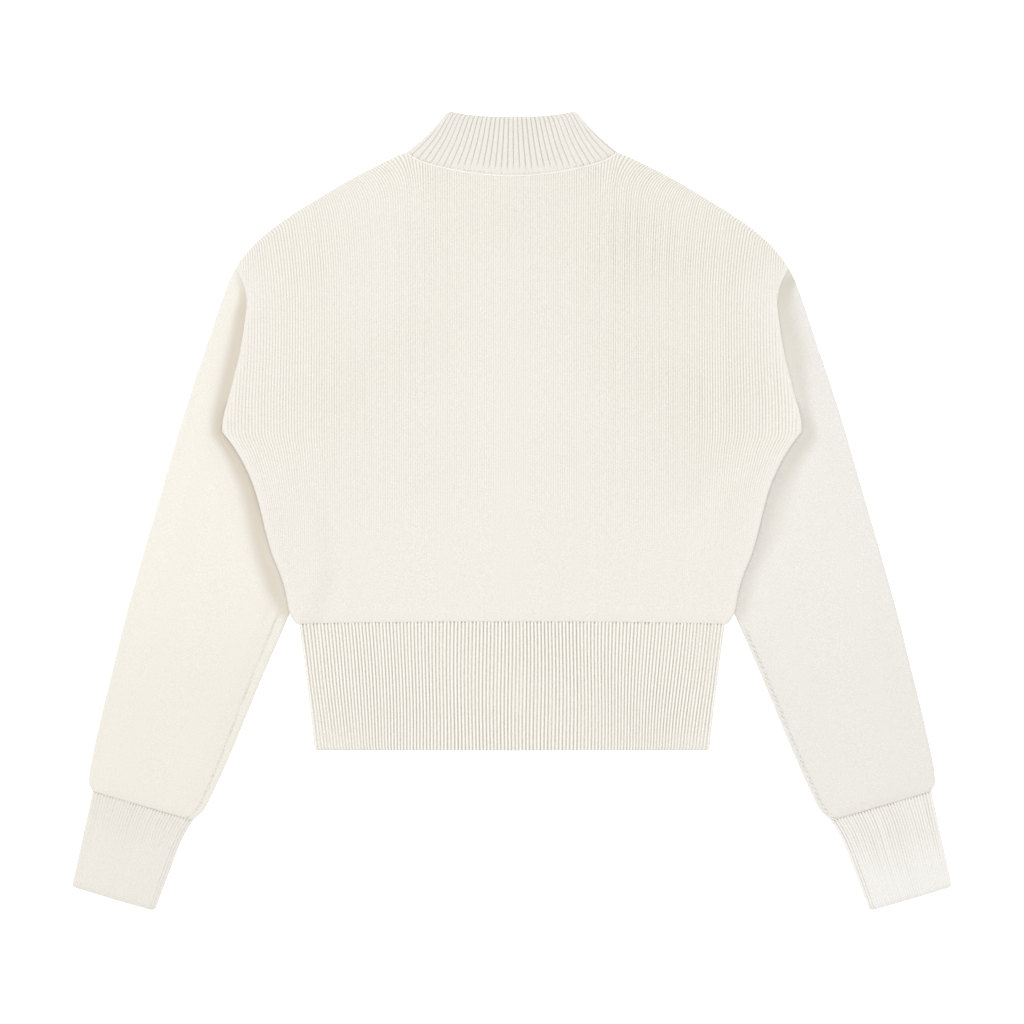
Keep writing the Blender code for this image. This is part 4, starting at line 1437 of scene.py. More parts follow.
@dataclass
class Cuff:
    """A ribbed cuff: a flattened tube whose ribs fade away from the linked seam."""

    side: Side
    material: bpy.types.Material
    ribs: int = 34
    depth: float = 0.8
    course: float = 1.3
    row_count: int = 30
    plain: float = 0.3
    fade_from: float = 0.05
    fade_over: float = 0.5
    # painted shade in the rib grooves and in the linking holes at the seam
    groove_shade: float = 0.26
    most_shade: float = 1.5
    hole_shade: float = 0.5
    corner: float = 2.6
    fold_reach: float = 0.3
    edge_grooves: tuple[int, ...] = (32, 33)
    rib: Rib = Rib((0.0, 0.15, 0.32, 0.5, 0.68, 0.85), 0.9, 0.15)

    def _rows(self) -> tuple[Array, Array, Array, float]:
        """The two ends of each row of points.

        Returns:
            The outer ends, the inner ends, how far down each row is and the outer fold's length.
        """
        table = np.array(CUFF)
        outer_line, inner_line = (Line([tuple(row) for row in table[:, end]]) for end in (0, 1))
        down = spread(1.0, [0.0, 0.005, 0.012, 0.02, 0.032, 0.05], [0.0, 0.005, 0.012, 0.022],
                      self.row_count)
        start, end = (np.stack(line.at(down), -1) for line in (outer_line, inner_line))
        inwards = (end - start) / np.hypot(*(end - start).T)[:, None]
        drawn_in = round_corner((1.0 - down) * outer_line.length, self.corner)[:, None] * inwards
        return start + drawn_in, end - drawn_in, down, outer_line.length

    def _relief(self, share: Array, rows: Array, number: Array) -> tuple[Array, Array]:
        """How deep the ribs are; they fade on the way down, apart from those beside the inner fold.

        Args:
            share: shares across from the outer fold.
            rows: shares of the way down.
            number: positions counted in ribs.

        Returns:
            The depth, and the share of it that hasn't faded.
        """
        patch = 0.9 + 0.12 * np.sin(3.0 + 7.0 * share + 2.6 * rows) + 0.3 * (1.0 - share)
        fade = 1.0 - smooth((rows - self.fade_from) / (self.fade_over * patch))
        fade = self.plain + (1.0 - self.plain) * fade + 0.12 * ramp(rows, 0.86, 0.98)
        edge = np.isin(np.round(number), self.edge_grooves) * (1.15 - 0.35 * rows)
        return self.depth * np.maximum(fade * uneven(number - 0.5, 3, 0.3), edge), fade

    def build(self) -> bpy.types.Object:
        """Make the cuff.

        Returns:
            The piece.
        """
        start, end, down, length = self._rows()
        share = self.rib.shares(self.ribs)[None, :]
        rows = down[:, None] + 0.0 * share
        x = start[:, :1] + share * (end[:, :1] - start[:, :1])
        y = start[:, 1:] + share * (end[:, 1:] - start[:, 1:])
        x = x + 0.25 * np.sin(y / 9.0 + x / 13.0) * ramp(share, 0.0, 0.04) * ramp(share, 1.0, 0.96)
        width = np.hypot(*(end - start).T)[:, None]
        fold = np.minimum(share, 1.0 - share) * width
        rib_number = share * self.ribs + 0.0 * rows
        depth, fade = self._relief(share, rows, rib_number)
        profile = self.rib.profile(rib_number)
        from_seam = rows * length
        from_end = (1.0 - rows) * length
        thick = LIE.wall * LIE.rounding(fold) * (0.55 + 0.45 * ramp(from_end, 0.0, 2.2))
        holes = (1.0 - profile) * uneven(rib_number, 9, 0.5) * bell(from_seam - 0.4, 0.9)
        room = LIE.gap + 1.4 * ramp(fold, 0.0, 22.0) * (0.86 + 0.14 * ramp(from_seam, 0.0, 20.0))
        upper_in = LIE.wall + room
        upper_out = upper_in + thick + depth * (profile - 0.45) - 0.45 * holes
        under_depth = 0.5 * (1.0 - profile) * fade
        lower_out = LIE.wall - thick + under_depth
        sign = self.side.value
        push = (start - end) / width * self.fold_reach
        inset = np.minimum(0.2, LIE.wall * 1.3 / width)
        drawn = inset + share * (1.0 - 2.0 * inset)
        in_x = start[:, :1] + drawn * (end[:, :1] - start[:, :1])
        in_y = start[:, 1:] + drawn * (end[:, 1:] - start[:, 1:])
        outer = tube(sign, x, y, upper_out, lower_out, push)
        inner = tube(sign, in_x, in_y, upper_in, LIE.wall + 0.0 * rows, 0.0 * push)
        first, whole = 0.0 * rib_number[:, :1], 2.0 * self.ribs
        wide = np.concatenate([rib_number, rib_number[:, -1:] + 0.2, whole + 0.4 - rib_number[:, ::-1],
                               first + whole + 0.6, first + whole + 0.8], 1)
        uv = np.stack([wide, from_seam[:, :1] / self.course + 0.0 * wide], -1)
        shell = Shell(f"cuff_{self.side.word}_ribbed", outer, inner, uv, True, (1, 2))
        # painted shade in the rib grooves and linking holes, which are also dimples in the shape; the lower
        # layer takes 0.4 of it
        shown = np.minimum(self.most_shade, depth / self.depth) * (1.0 - profile)
        groove = np.clip(self.groove_shade * shown + self.hole_shade * holes, 0.0, 1.0)
        shell.shade("groove", round_tube(groove, 0.4 * groove[:, ::-1]))
        obj = shell.build(self.material)
        return tie_cloth(obj, f"cuff_{self.side.word}", (2.0 * width.max(), length),
                         shell.flat_area())


@dataclass
class RibbedStrip:
    """A ribbed strip that runs from one zip edge round the back to the other.

    The functions upper and lower give x and y at shares across and down: upper from the
    right fold to the left one, lower from the right zip edge to the right fold.
    """

    node: str
    material: bpy.types.Material
    upper: Callable[[Array, Array], tuple[Array, Array]]
    lower: Callable[[Array, Array], tuple[Array, Array]]
    heights: Callable[[Array, Array, Layer], Array]
    strength: Callable[[Array, Array, Array], Array]
    down: Array
    length: float
    width: float
    upper_ribs: int
    lower_ribs: int
    rib: Rib
    depth: float
    hole_pitch: float
    hole_depth: float
    loose_edge: float = 1.6
    course: float = 1.3
    # painted shade in the rib grooves and linking holes; side_light lessens it towards the sides
    groove_shade: float = 0.78
    hole_line: float = 0.3
    hole_shade: float = 0.75
    closed_holes: int = 0
    flat_shade: float = 0.26
    side_light: float = 0.0

    def _layer(self, layer: Layer) -> dict[str, Array]:
        """Points and shades of one layer, columns from its start.

        Args:
            layer: the layer.

        Returns:
            The outer and inner points, stitch coordinates and groove shade.
        """
        count, way = (self.upper_ribs, self.upper) if layer is Layer.UPPER else (self.lower_ribs, self.lower)
        share = self.rib.shares(count)[None, :]
        rows = self.down[:, None] + 0.0 * share
        x, y = way(share + 0.0 * rows, rows)
        number = share * count + 0.0 * rows
        across = np.hypot(x - x[:, :1], y - y[:, :1])
        whole = across[:, -1:]
        from_end = whole - across
        fold = np.minimum(across, from_end) if layer is Layer.UPPER else from_end
        thick = LIE.wall * LIE.rounding(fold)
        seam = rows * self.length
        edge = (1.0 - rows) * self.length
        profile = self.rib.profile(number)
        depth = self.depth * self.strength(x, y, rows) * uneven(number + self.rib.shift - 0.5, 21, 0.14)
        inside = self.heights(x, y, layer)
        held = smooth(edge / self.loose_edge)
        holes = linking_holes(x, self.hole_pitch, 5, 0.6) if self.hole_pitch else (1.0 - profile)
        holes = holes * uneven(number + self.rib.shift, 9, 0.4) * bell(seam - self.hole_line, 0.8)
        if self.closed_holes:
            closed = np.floor(number + self.rib.shift + 0.5) % self.closed_holes == 0.0
            holes = np.where(closed, 0.2 * holes, holes)
        if layer is Layer.UPPER:
            tuck = 0.8 * (1.0 - held)
            standing = depth * (profile - 0.4) * (0.3 + 0.7 * ramp(seam, 0.0, 1.8))
            outside = inside + thick + standing - tuck - self.hole_depth * holes
        else:
            outside = inside - thick + 0.55 * depth * (1.0 - profile)
        inset = np.minimum(0.2, LIE.wall * 1.2 / whole)
        clear = share + inset * (1.0 - share) - (inset * share if layer is Layer.UPPER else 0.0)
        if layer is Layer.LOWER:
            clear = share - inset * share
        in_x, in_y = way(clear + 0.0 * rows, rows)
        inner_height = self.heights(in_x, in_y, layer)
        # painted shade in the rib grooves, a share of it on flat ribs and less towards the sides, plus
        # painted shade in the linking holes, which are also dimples in the shape
        worn = np.minimum(1.0, depth / self.depth)
        lighter = 1.0 - self.side_light * smooth((np.abs(x) - 35.0) / 60.0)
        groove = lighter * self.groove_shade * ((1.0 - profile) * worn + self.flat_shade * (1.0 - worn))
        return {"outer": np.stack([x, y, outside], -1), "inner": np.stack([in_x, in_y, inner_height], -1),
                "uv": np.stack([number, seam / self.course], -1),
                "groove": np.clip(groove + self.hole_shade * holes, 0.0, 1.0)}

    def build(self) -> bpy.types.Object:
        """Make the strip.

        Returns:
            The piece.
        """
        upper = self._layer(Layer.UPPER)
        front = self._layer(Layer.LOWER)
        mirror = np.array([-1.0, 1.0, 1.0])
        ribs = self.lower_ribs
        turned = np.array([2.0 * ribs + self.upper_ribs, 0.0])
        back = {"outer": front["outer"][:, ::-1] * mirror, "inner": front["inner"][:, ::-1] * mirror,
                "uv": front["uv"][:, ::-1] * np.array([-1.0, 1.0]) + turned,
                "groove": front["groove"][:, ::-1]}
        upper["uv"] = upper["uv"] + np.array([float(ribs), 0.0])
        whole = {key: np.concatenate([front[key], upper[key], back[key]], 1) for key in front}
        columns = whole["outer"].shape[1]
        keep = columns - (columns - 1) % 2
        middle = front["outer"].shape[1] + 1
        if keep < columns:
            whole = {key: np.delete(values, middle, 1) for key, values in whole.items()}
        shell = Shell(self.node + "_ribbed", whole["outer"], whole["inner"], whole["uv"], False, (1, 2))
        shell.shade("groove", whole["groove"])
        obj = shell.build(self.material)
        return tie_cloth(obj, self.node, (self.width, self.length), shell.flat_area())


def waistband(material: bpy.types.Material) -> RibbedStrip:
    """The ribbed waistband below the body.

    Args:
        material: its finish.

    Returns:
        The strip, ready to build.
    """
    edge = Line(WAISTBAND)
    top, bottom = WAISTBAND[0][1], WAISTBAND[-1][1]
    crowding, corner, lean_from = 0.022, 2.4, 0.3

    def place(down: Array) -> tuple[Array, Array]:
        """The half width and y at shares of the way down."""
        y = top + down * (bottom - top)
        return edge.x_at(y) - round_corner(y - bottom, corner), y

    def upper(share: Array, down: Array) -> tuple[Array, Array]:
        """A point of the upper layer; only the ribs beside a fold lean and close up.

        Args:
            share: shares from the right fold to the left one.
            down: shares of the way down.

        Returns:
            Its x and y.
        """
        half, y = place(down)
        y = y + LIE.hem_bow(half * (1.0 - 2.0 * share), y)
        s = 1.0 - 2.0 * share
        lean = (edge.x[0] - half) * np.sign(s) * smooth((np.abs(s) - lean_from) / (1.0 - lean_from))
        wobble = 0.5 * np.sin(y / 23.0 + s * 8.0) * smooth((1.0 - np.abs(s)) / 0.05)
        return edge.x[0] * s * (1.0 + crowding * (1.0 - s * s)) - lean + wobble, y

    def lower(share: Array, down: Array) -> tuple[Array, Array]:
        """A point of the lower layer.

        Args:
            share: shares from the right zip edge to the fold.
            down: shares of the way down.

        Returns:
            Its x and y.
        """
        half, y = place(down)
        x = FRONT_EDGE + (half - FRONT_EDGE) * share
        return x, y + LIE.hem_bow(x, y)

    def heights(x: Array, y: Array, layer: Layer) -> Array:
        """The height of the inner face."""
        room = LIE.layer_room(x) if layer is Layer.UPPER else 0.0
        return LIE.wall + LIE.body_lift(x, y) + room

    def strength(x: Array, y: Array, down: Array) -> Array:
        """How deep the ribs are: a little less towards the sides.

        Args:
            x: the points' x.
            y: the points' y.
            down: shares of the way down.

        Returns:
            A factor of their depth.
        """
        across = np.abs(x)
        low = 0.3 * ramp(across, 95.0, 145.0) * ramp(down, 0.74, 1.0)
        sides = 0.22 * ramp(across, 128.0, 176.0)
        return (1.0 - low) * (1.0 - sides) * (0.92 + 0.08 * np.sin(x / 37.0 + y / 19.0))

    down = spread(top - bottom, [0.0, 0.4, 0.9, 1.5, 2.3, 3.4, 5.0, 8.0], [0.0, 0.4, 0.9, 1.6, 2.8], 22)
    return RibbedStrip("waistband", material, upper, lower, heights, strength, down / (top - bottom),
                       length=top - bottom, width=4.0 * WAISTBAND[0][0] - 2.0 * FRONT_EDGE,
                       upper_ribs=120, lower_ribs=58, rib=Rib((0.0, 0.16, 0.32, 0.5, 0.68, 0.84), 1.0, 0.24),
                       depth=1.25, hole_pitch=0.0, hole_depth=0.7, closed_holes=3, flat_shade=0.55,
                       groove_shade=0.8, side_light=0.06)


def collar(material: bpy.types.Material) -> RibbedStrip:
    """The ribbed stand collar.

    Args:
        material: its finish.

    Returns:
        The strip, ready to build.
    """
    fold = Line(COLLAR_FOLD)
    back_seam, front_seam = Line(BACK_NECK), Line(FRONT_NECK)
    back_edge, front_edge = Line(COLLAR_BACK_EDGE), Line(COLLAR_FRONT_EDGE)
    low_x, high_x = COLLAR_FOLD[0][0], COLLAR_FOLD[-1][0]
    low_y, high_y = COLLAR_FOLD[0][1], COLLAR_FOLD[-1][1]
    sag, sag_reach = 3.7, 34.0
    round_the_fold, corner = 0.11, 2.6

    def upper(share: Array, down: Array) -> tuple[Array, Array]:
        """A point of the back of the collar; its outer ribs run round the fold on the way up.

        Args:
            share: shares from the right fold to the left one.
            down: shares of the way up.

        Returns:
            Its x and y.
        """
        part = 1.0 - 2.0 * share
        y_fold = low_y + down * (high_y - low_y)
        half = fold.x_at(y_fold) - round_corner(high_y - y_fold, corner)
        closing = round_the_fold * part * (1.0 - part ** 8)
        low = back_seam.y_at(low_x * np.abs(part)) + TOUCH
        high = back_edge.y_at(high_x * np.abs(part + closing))
        return half * (part + closing * down), low + down * (high - low)

    def lower(share: Array, down: Array) -> tuple[Array, Array]:
        """A point of the front of the collar, right half.

        Args:
            share: shares from the right zip edge to the fold.
            down: shares of the way up.

        Returns:
            Its x and y.
        """
        y_fold = low_y + down * (high_y - low_y)
        low = front_seam.y_at(FRONT_EDGE + (low_x - FRONT_EDGE) * share) + TOUCH
        high = front_edge.y_at(FRONT_EDGE + (high_x - FRONT_EDGE) * share)
        return FRONT_EDGE + (fold.x_at(y_fold) - FRONT_EDGE) * share, low + down * (high - low)

    def heights(x: Array, y: Array, layer: Layer) -> Array:
        """The height of the inner face.

        Args:
            x: the points' x.
            y: the points' y.
            layer: the layer.

        Returns:
            The height.
        """
        base = LIE.wall + LIE.over_slider(x, y)
        if layer is Layer.LOWER:
            return base
        behind = y - front_edge.y_at(np.abs(x))
        return base + LIE.layer_room(x) - sag * smooth(behind / sag_reach)

    def strength(x: Array, y: Array, down: Array) -> Array:
        """How deep the ribs are: they run out just above the seam.

        Args:
            x: the points' x.
            y: the points' y.
            down: shares of the way up.

        Returns:
            A factor of their depth.
        """
        across = np.abs(x)
        plain = 0.06 - 0.13 * ramp(across, 25.0, 70.0)
        crowded = smooth((across / fold.x_at(y) - 0.92) / 0.04) * ramp(down, 0.4, 0.8)
        sides = 1.0 - 0.24 * ramp(across, 22.0, 52.0)
        return (0.08 + 0.92 * smooth((down - plain) / 0.12)) * sides * (1.0 - 0.85 * crowded)

    height = high_y - back_seam.y[0]
    down = spread(height, [0.0, 0.4, 0.9, 1.5, 2.3, 3.4, 5.0], [0.0, 0.4, 0.9, 1.6, 2.8], 20) / height
    return RibbedStrip("collar", material, upper, lower, heights, strength, down,
                       length=height, width=2.0 * (back_seam.length + front_seam.length),
                       upper_ribs=33, lower_ribs=16,
                       rib=Rib((0.0, 0.08, 0.17, 0.3, 0.5, 0.7, 0.83, 0.92), 0.5, 0.0, 0.77),
                       depth=1.1, hole_pitch=2.9, hole_depth=0.5, hole_line=1.0, hole_shade=0.6,
                       flat_shade=0.0, groove_shade=0.34)


class NodeTree(Nodes):
    """A Geometry Nodes tree that is built from code, with named inputs."""

    def __init__(self, name: str) -> None:
        """Start a tree that takes and gives geometry.

        Args:
            name: the tree's name.
        """
        super().__init__(bpy.data.node_groups.new(name, "GeometryNodeTree"))
        for way in ("INPUT", "OUTPUT"):
            self.tree.interface.new_socket("Geometry", in_out=way, socket_type="NodeSocketGeometry")
        self.entry = self.node("NodeGroupInput")

    def size(self, name: str, kind: str = "NodeSocketFloat") -> bpy.types.NodeSocket:
        """Add a named input and give its socket inside the tree."""
        self.tree.interface.new_socket(name, in_out="INPUT", socket_type=kind)
        return self.entry.outputs[name]

    def number(self, name: str) -> Value:
        """Add a named number input and give it as a value that takes part in arithmetic."""
        return Value(self, self.size(name))

    def odd_steps(self) -> Value:
        """1 on every second point and 0 on the others."""
        return Value(self, self.node("GeometryNodeInputIndex").outputs[0]) % 2.0

    def random(self, least: Value, most: Value, seed: bpy.types.NodeSocket) -> Value:
        """A random number for each point.

        Args:
            least: the least number.
            most: the greatest.
            seed: the draw's seed.

        Returns:
            The number.
        """
        dice = self.node("FunctionNodeRandomValue", {"data_type": "FLOAT"}, {2: least, 3: most, "Seed": seed})
        return Value(self, dice.outputs[1])

    def path(self, pitch: Value) -> bpy.types.NodeSocket:
        """The path that the tree starts from, as a curve with a point on every step.

        Args:
            pitch: the length of a step.

        Returns:
            The curve.
        """
        curve = self.node("GeometryNodeMeshToCurve", {}, {0: self.entry.outputs[0]})
        even = self.node("GeometryNodeResampleCurve", {"mode": "LENGTH"}, {"Curve": curve.outputs[0],
                                                                           "Length": pitch})
        return even.outputs[0]

    def finish(self, geometry: bpy.types.NodeSocket,
               material: bpy.types.Material) -> bpy.types.GeometryNodeTree:
        """Make instances real, give them their finish and close the tree.

        Args:
            geometry: what the tree gives.
            material: its finish.

        Returns:
            The tree.
        """
        real = self.node("GeometryNodeRealizeInstances", {}, {0: geometry})
        dressed = self.node("GeometryNodeSetMaterial", {},
                            {"Geometry": real.outputs[0], "Material": material})
        self.node("NodeGroupOutput", {}, {0: dressed.outputs[0]})
        return self.tree


def grown(base: bpy.types.Object, tree: bpy.types.GeometryNodeTree, sizes: dict[str, object],
          name: str) -> bpy.types.Object:
    """Run a Geometry Nodes tree on an object and keep the result as a plain mesh.

    Args:
        base: the object that the tree starts from; it is removed.
        tree: the tree.
        sizes: a value for each named input.
        name: the new piece's name.

    Returns:
        The piece.
    """
    modifier = base.modifiers.new("grow", "NODES")
    modifier.node_group = tree
    sockets = {item.name: item.identifier for item in tree.interface.items_tree if item.in_out == "INPUT"}
    for key, given in sizes.items():
        modifier[sockets[key]] = given
    bpy.context.view_layer.update()
    evaluated = base.evaluated_get(bpy.context.evaluated_depsgraph_get())
    mesh = bpy.data.meshes.new_from_object(evaluated)
    mesh.name = name
    obj = put(name, mesh)
    bpy.data.objects.remove(base)
    return obj


def path_object(name: str, points: Array) -> bpy.types.Object:
    """A mesh line through points, for a tree to start from.

    Args:
        name: its name.
        points: its points, in millimetres.

    Returns:
        The object.
    """
    mesh = bpy.data.meshes.new(name)
    mesh.from_pydata(metres(points).tolist(), [(k, k + 1) for k in range(len(points) - 1)], [])
    return put(name, mesh)


@dataclass(frozen=True)
class StitchRow:
    """A row of small sewn or linked loops along a seam."""

    pitch: float
    length: float
    width: float
    height: float
    lean: float = 0.0
    alternate: float = 1.0
    uneven_turn: float = 0.2
    uneven_size: float = 0.2
    seed: int = 4

    def tree(self, material: bpy.types.Material) -> bpy.types.GeometryNodeTree:
        """The tree that sets a loop on each step of a path.

        Args:
            material: the yarn's finish.

        Returns:
            The tree.
        """
        nodes = NodeTree("stitch_row")
        pitch, lean, alternate, turn, size = (
            nodes.number(name) for name in ("Pitch", "Lean", "Alternate", "Uneven Turn", "Uneven Size"))
        stitch = nodes.size("Stitch Size", "NodeSocketVector")
        seed = nodes.size("Seed", "NodeSocketInt")
        kept = nodes.node("GeometryNodeCaptureAttribute", {}, {"Geometry": nodes.path(pitch)})
        kept.capture_items.new("VECTOR", "Tangent")
        nodes.feed(kept.inputs["Tangent"], nodes.node("GeometryNodeInputTangent").outputs[0])
        points = nodes.node("GeometryNodeCurveToPoints", {"mode": "EVALUATED"},
                            {"Curve": kept.outputs["Geometry"]})
        ball = nodes.node("GeometryNodeMeshUVSphere", {}, {"Segments": 8, "Rings": 5, "Radius": 0.5})
        along = nodes.node("FunctionNodeAlignRotationToVector", {"axis": "X"},
                           {"Vector": kept.outputs["Tangent"]})
        level = nodes.node("FunctionNodeAlignRotationToVector", {"axis": "Z", "pivot_axis": "X"},
                           {"Rotation": along.outputs[0], "Vector": (0.0, 0.0, 1.0)})
        leant = (1.0 + nodes.odd_steps() * -2.0 * alternate) * lean
        euler = nodes.node("ShaderNodeCombineXYZ", {}, {2: leant + nodes.random(turn * -1.0, turn, seed)})
        spin = nodes.node("FunctionNodeRotateRotation", {"rotation_space": "LOCAL"},
                          {"Rotation": level.outputs[0], "Rotate By": euler.outputs[0]})
        scale = nodes.node("ShaderNodeVectorMath", {"operation": "SCALE"},
                           {0: stitch, "Scale": nodes.random(1.0 - size, 1.0 + size, seed)})
        loops = nodes.node("GeometryNodeInstanceOnPoints", {},
                           {"Points": points.outputs[0], "Instance": ball.outputs[0],
                            "Rotation": spin.outputs[0], "Scale": scale.outputs[0]})
        smooth_loops = nodes.node("GeometryNodeSetShadeSmooth", {}, {0: loops.outputs[0]})
        return nodes.finish(smooth_loops.outputs[0], material)

    def build(self, name: str, points: Array, material: bpy.types.Material, slot: str) -> bpy.types.Object:
        """Sew the row along a path.

        Args:
            name: the piece's name.
            points: the path, in millimetres.
            material: the yarn's finish.
            slot: not used.

        Returns:
            The piece.
        """
        sizes = {"Pitch": self.pitch * MM, "Lean": self.lean, "Alternate": self.alternate,
                 "Uneven Turn": self.uneven_turn, "Uneven Size": self.uneven_size, "Seed": self.seed,
                 "Stitch Size": (self.length * MM, self.width * MM, self.height * MM)}
        row = grown(path_object(name + "_path", points), self.tree(material), sizes, name)
        return tie(row, None)


def flat_arc(centre: tuple[float, float], radius: tuple[float, float], start: float, end: float,
             steps: int) -> list[tuple[float, float]]:
    """Points on an arc of an ellipse.

    Args:
        centre: its centre.
        radius: its radii along the first and the second axis.
        start: where it starts, in degrees.
        end: where it ends.
        steps: how many straight steps it has.

    Returns:
        The points.
    """
    angles = [math.radians(start + (end - start) * step / steps) for step in range(steps + 1)]
    return [(centre[0] + radius[0] * math.cos(angle), centre[1] + radius[1] * math.sin(angle))
            for angle in angles]


class Casting:
    """Small metal forms gathered into one piece."""

    LEVEL = Matrix.Identity(4)
    RIM_ANGLE = 50.0
    ON_EDGE = Matrix(((0, 0, 1, 0), (1, 0, 0, 0), (0, 1, 0, 0), (0, 0, 0, 1)))

    def __init__(self, name: str) -> None:
        """Start an empty piece."""
        self.name = name
        self.form = bmesh.new()

    def slab(self, outline: Rows, low: float, high: float, edge: float, lie: Matrix = LEVEL) -> None:
        """Add a flat form with rounded edges.

        Args:
            outline: its corners in turn.
            low: where it starts across the outline's plane.
            high: where it ends.
            edge: the radius of its edges.
            lie: LEVEL for an outline in x and y, ON_EDGE for one in y and z.
        """
        part = bmesh.new()
        faces = [[part.verts.new(lie @ Vector((u, v, level))) for u, v in outline] for level in (low, high)]
        part.faces.new(faces[0][::-1])
        part.faces.new(faces[1])
        for here in range(len(outline)):
            there = (here + 1) % len(outline)
            part.faces.new((faces[0][here], faces[0][there], faces[1][there], faces[1][here]))
        bmesh.ops.recalc_face_normals(part, faces=part.faces)
        rims = [one for one in part.edges if one.calc_face_angle(0.0) > math.radians(self.RIM_ANGLE)]
        bmesh.ops.bevel(part, geom=rims, offset=edge, segments=2, affect="EDGES", clamp_overlap=True)
        self._take(part)

    def rod(self, centre: tuple[float, float, float], half_length: float, radius: float) -> None:
        """Add a round rod along x.

        Args:
            centre: its middle.
            half_length: half its length.
            radius: its radius.
        """
        outline = flat_arc(centre[1:], (radius, radius), 0.0, 360.0, 20)[:-1]
        self.slab(outline, centre[0] - half_length, centre[0] + half_length, radius * 0.25, self.ON_EDGE)

    def _take(self, part: bmesh.types.BMesh) -> None:
        """Add a form and free it.

        Args:
            part: the form.
        """
        mesh = bpy.data.meshes.new("part")
        part.to_mesh(mesh)
        part.free()
        self.form.from_mesh(mesh)
        bpy.data.meshes.remove(mesh)

    def mesh_object(self, material: bpy.types.Material) -> bpy.types.Object:
        """Make the object, in metres.

        Args:
            material: its finish.

        Returns:
            The object, whose mesh holds the place.
        """
        for vert in self.form.verts:
            vert.co = (vert.co - Vector((0.0, LAID_MIDDLE, 0.0))) * MM
        mesh = bpy.data.meshes.new(self.name)
        self.form.to_mesh(mesh)
        self.form.free()
        mesh.shade_smooth()
        mesh.set_sharp_from_angle(angle=math.radians(SHARP_METAL))
        mesh.materials.append(material)
        return put(self.name, mesh)

    def build(self, material: bpy.types.Material, node: str, body: str = "garment") -> bpy.types.Object:
        """Make the piece and tie it to its body.

        Args:
            material: its finish.
            node: the CAD node that it stands for.
            body: the body that it rides on.

        Returns:
            The piece.
        """
        return tie(self.mesh_object(material), node, body)


